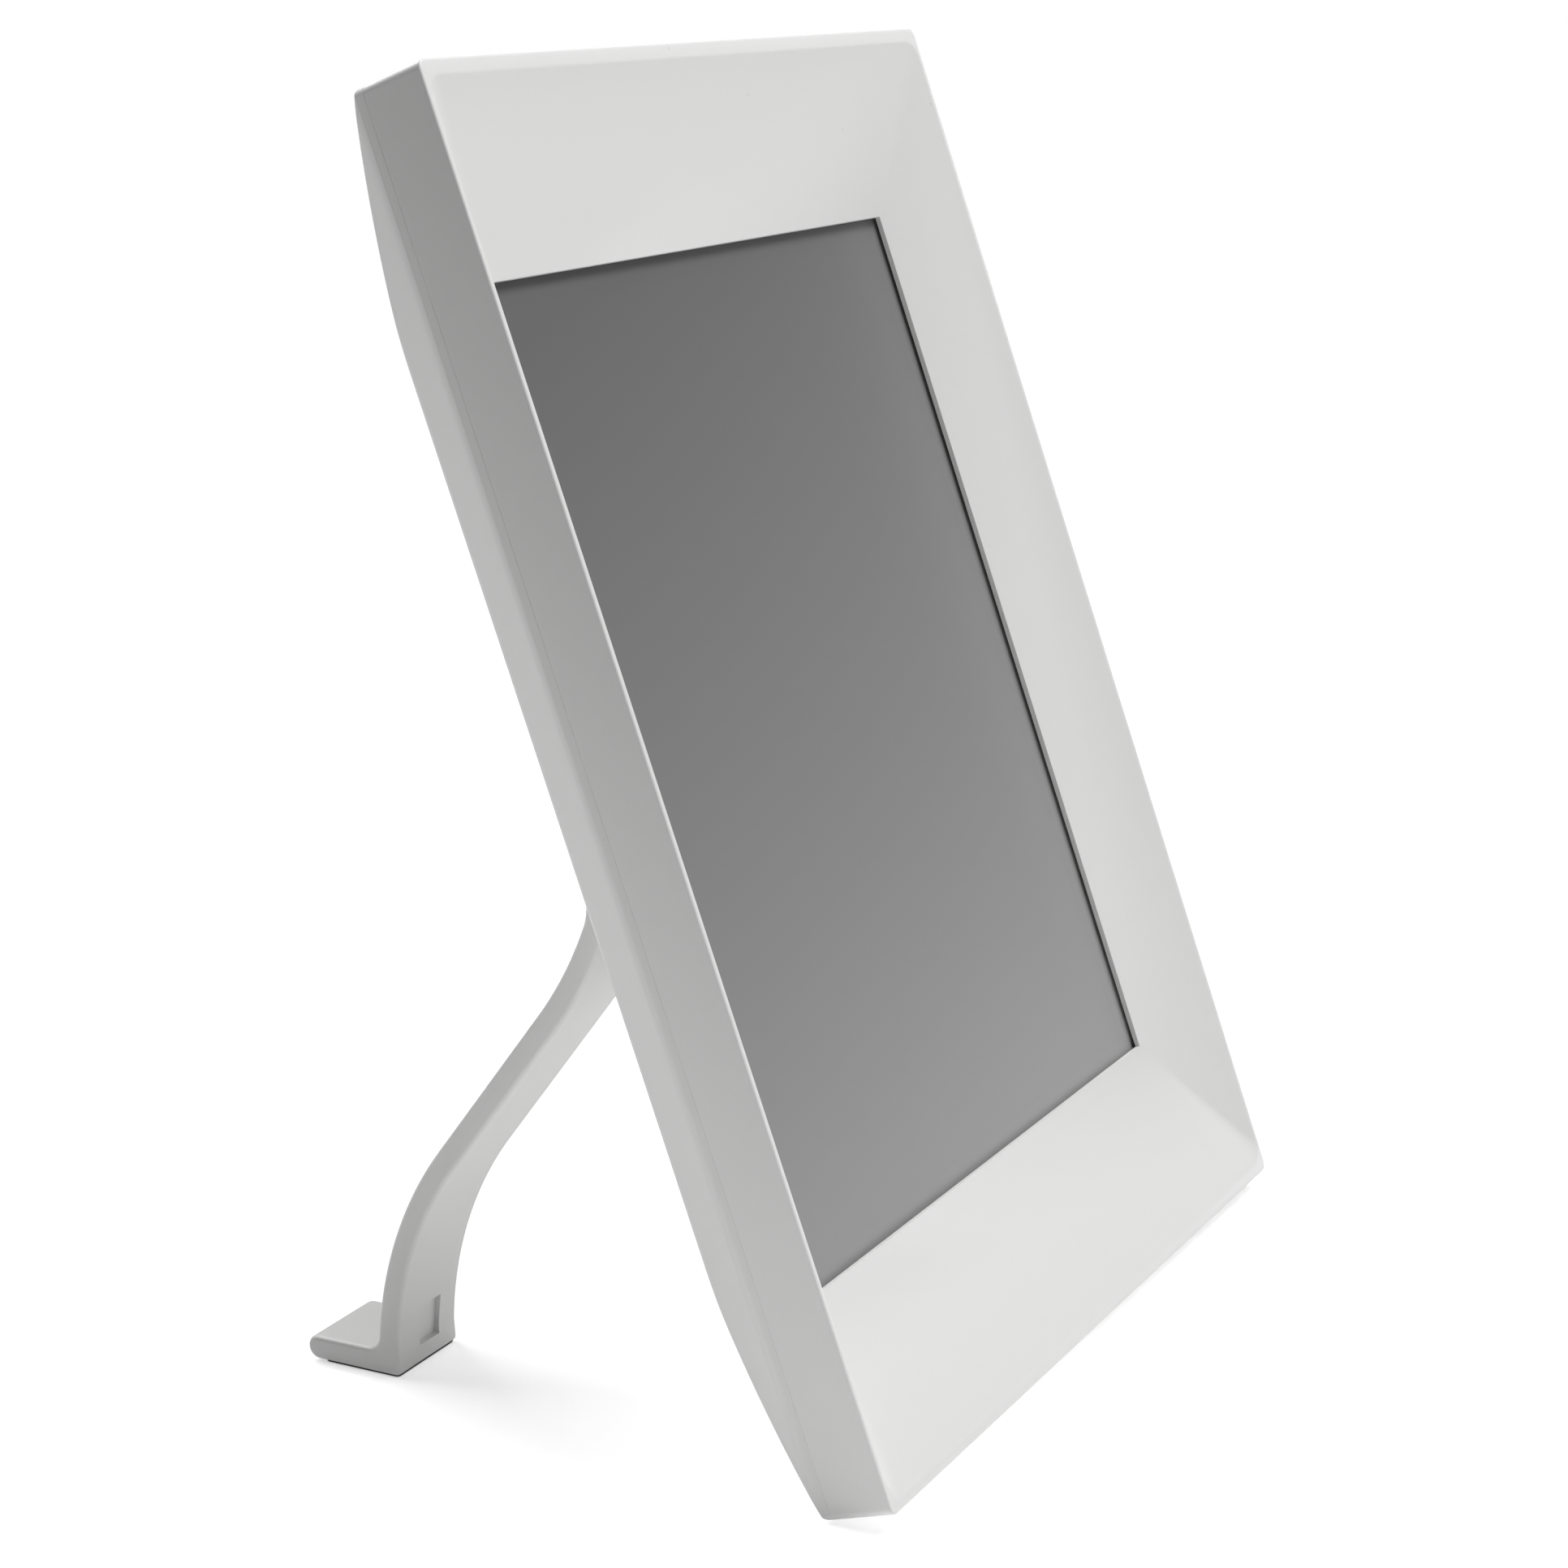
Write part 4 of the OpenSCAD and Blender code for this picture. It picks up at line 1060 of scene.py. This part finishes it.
POCKET_W, POCKET_H, POCKET_IN = 7 * MM, 10 * MM, 1.2 * MM
TONGUE_W, TONGUE_T, TONGUE_UP = 12 * MM, 4 * MM, 7 * MM
LEG_SOFT = 1.1 * MM
pocket_slope = FOOT - math.radians(3.5)
pocket_at = centre_3 + FRONT_R * rearwards(pocket_slope)
pocket = block("pocket", (-POCKET_W / 2, POCKET_W / 2), (-POCKET_IN, POCKET_IN),
               (-POCKET_H / 2, POCKET_H / 2))
edit(pocket, "EDGE")
soften(pocket, lambda e: along(e, 1), 0.3 * MM, 3)
leave_edit()
pocket.matrix_world = (Matrix.Translation(pocket_at + Vector((MM, 0, 0)))
                       @ Matrix.Rotation(math.pi / 2 - pocket_slope, 4, "X"))
settle(pocket)
combine(leg, pocket, "DIFFERENCE")
tongue = block("tongue", (hub.x - TONGUE_W / 2, hub.x + TONGUE_W / 2),
               (LEG_Y - TONGUE_T / 2, LEG_Y + TONGUE_T / 2),
               (hub.z - HUB_DROP + MM, hub.z + TONGUE_UP))
combine(leg, tongue, "UNION")
edit(leg, "EDGE")
count = soften(leg, lambda e: not along(e, 0) and (
    lies_at(e, 0, left) or lies_at(e, 0, left + LEG_W)), LEG_SOFT, 5)
leave_edit()
print("rounded", count, "edges of the leg")

# %% [markdown]
# The foot stands on a thin rubber pad that sits in a shallow seat, so only a dark line of it
# shows. The seat and the pad are the same rounded slab, the seat a hair larger, which keeps the
# pad's gap even all round.

# %% Seat of the pad, cut into the foot
PAD_INSET, PAD_L, PAD_T, PAD_CORNER = 0.6 * MM, 21 * MM, 1.2 * MM, MM
SEAT_GAP, PAD_SOFT = 0.05 * MM, 0.25 * MM
pad_front = (PANEL @ heel).y + heel_run + PAD_INSET


def pad_block(name, grow, low):
    """A slab with rounded corners on the table under the foot."""
    piece = block(name, (left + PAD_INSET - grow, left + LEG_W - PAD_INSET + grow),
                  (pad_front - grow, pad_front + PAD_L + grow), (low, PAD_T))
    edit(piece, "EDGE")
    soften(piece, lambda e: along(e, 2), PAD_CORNER, 6)
    leave_edit()
    return piece


combine(leg, level(pad_block("pad_seat", SEAT_GAP, -MM)), "DIFFERENCE")
print("leg with its seat has", len(leg.data.polygons), "faces")
tidy(leg)
hand_over(leg, "curved_leg", "stand", "stand_white", stand_white, "stand_leg")

# %% The rubber pad
pad = pad_block("pad", 0.0, 0.0)
edit(pad, "EDGE")
soften(pad, lambda e: lies_at(e, 2, 0), PAD_SOFT, 2)
leave_edit()
tidy(level(pad))
hand_over(pad, "sole_pad", "stand", "rubber_grey", rubber_grey, "foot_pad")

# %% [markdown]
# ## The hub and the buttons
# The hub is a turned shape: a thin flange that slides on the cover and a raised boss that holds
# the leg. Starting from one disc, the face on top is inset and extruded up, the face below is
# inset and extruded down into the cover, and the outer edges are bevelled. The room for the
# leg is cut away below. Buttons are made the same way once, and copied.

# %% Hub
HUB_TOP, BOSS_R = LEG_Y + 3.6 * MM, 9.6 * MM
FLANGE_R, PLUG_IN, PLUG_DEEP = 15.5 * MM, 2.5 * MM, 3.5 * MM
ROOM, SCREW_UP = 0.1 * MM, 2 * MM


def raise_face(piece, y, inset, to_y):
    """Insets the round face at a depth and extrudes it to another depth."""
    bpy.ops.mesh.select_all(action="DESELECT")
    pick(piece, "faces", lambda f: abs(f.normal.y) > 0.99 and close(f.calc_center_median().y, y))
    bpy.ops.mesh.inset(thickness=inset)
    bpy.ops.mesh.extrude_region_move(TRANSFORM_OT_translate={"value": (0, to_y - y, 0)})


def soften_ring(piece, y, radius, offset, x, z, segments=3):
    """Bevels the ring of edges with a given radius at a given depth."""
    bpy.ops.mesh.select_all(action="DESELECT")
    bpy.ops.mesh.select_mode(type="EDGE")
    soften(piece, lambda e: lies_at(e, 1, y) and all(
        close(math.hypot(v.co.x - x, v.co.z - z), radius, 0.05 * MM) for v in e.verts),
        offset, segments)
    bpy.ops.mesh.select_mode(type="FACE")


FLANGE = (BACK_Y + 0.1 * MM, BACK_Y + 1.4 * MM)
boss = rod("hub_boss", FLANGE_R, hub.x, FLANGE, hub.z, 96)
edit(boss)
raise_face(boss, FLANGE[1], FLANGE_R - BOSS_R, HUB_TOP)
raise_face(boss, FLANGE[0], PLUG_IN, BACK_Y - PLUG_DEEP)
soften_ring(boss, HUB_TOP, BOSS_R, 1.6 * MM, hub.x, hub.z, 6)
soften_ring(boss, FLANGE[1], FLANGE_R, 0.5 * MM, hub.x, hub.z)
leave_edit()
leg_room = block("leg_room", (hub.x - 20 * MM, hub.x + 20 * MM),
                 (LEG_Y - LEG_T / 2 - 0.3 * MM, HUB_TOP + MM), (hub.z - 17 * MM, hub.z - 7.5 * MM))
tongue_x, tongue_y = TONGUE_W / 2 + ROOM, TONGUE_T / 2 + ROOM
tongue_room = block("tongue_room", (hub.x - tongue_x, hub.x + tongue_x),
                    (LEG_Y - tongue_y, LEG_Y + tongue_y),
                    (hub.z - 16 * MM, hub.z + TONGUE_UP + ROOM))
combine(boss, leg_room, "DIFFERENCE")
combine(boss, tongue_room, "DIFFERENCE")
combine(boss, rod("screw_seat", 2.2 * MM, hub.x, (HUB_TOP - 0.8 * MM, HUB_TOP + MM),
                  hub.z + SCREW_UP, 40), "DIFFERENCE")
tidy(boss)
hand_over(boss, "hub_turner", "stand", "stand_white", stand_white, "stand_hub")

# %% Buttons
COLLAR_Y, COLLAR_T = BACK_Y - 3.0 * MM, 0.7 * MM
CAP_Y = BACK_Y + 1.1 * MM
DISH_STEP, DISH_DEEP = 0.9 * MM, (0.15 * MM, 0.1 * MM)
cap = rod("cap", BUTTON_R + MM, BUTTON_X, (COLLAR_Y, COLLAR_Y + COLLAR_T), BUTTON_TOP, 64)
edit(cap)
raise_face(cap, COLLAR_Y + COLLAR_T, MM, CAP_Y)
for deep in DISH_DEEP:
    bpy.ops.mesh.inset(thickness=DISH_STEP)
    bpy.ops.mesh.extrude_region_move(TRANSFORM_OT_translate={"value": (0, -deep, 0)})
soften_ring(cap, CAP_Y, BUTTON_R, 0.45 * MM, BUTTON_X, BUTTON_TOP, 4)
soften_ring(cap, CAP_Y, BUTTON_R - DISH_STEP, 0.12 * MM, BUTTON_X, BUTTON_TOP, 2)
leave_edit()
for i, name in enumerate(("menu", "back", "previous", "next", "enter")):
    copy = cap.copy()
    copy.data = cap.data.copy()
    bpy.context.scene.collection.objects.link(copy)
    copy.location.z = -i * BUTTON_PITCH
    settle(copy)
    tidy(copy)
    hand_over(copy, name + "_cap", name + "_button", "button_white", button_white,
              name + "_button")
bpy.data.objects.remove(cap)
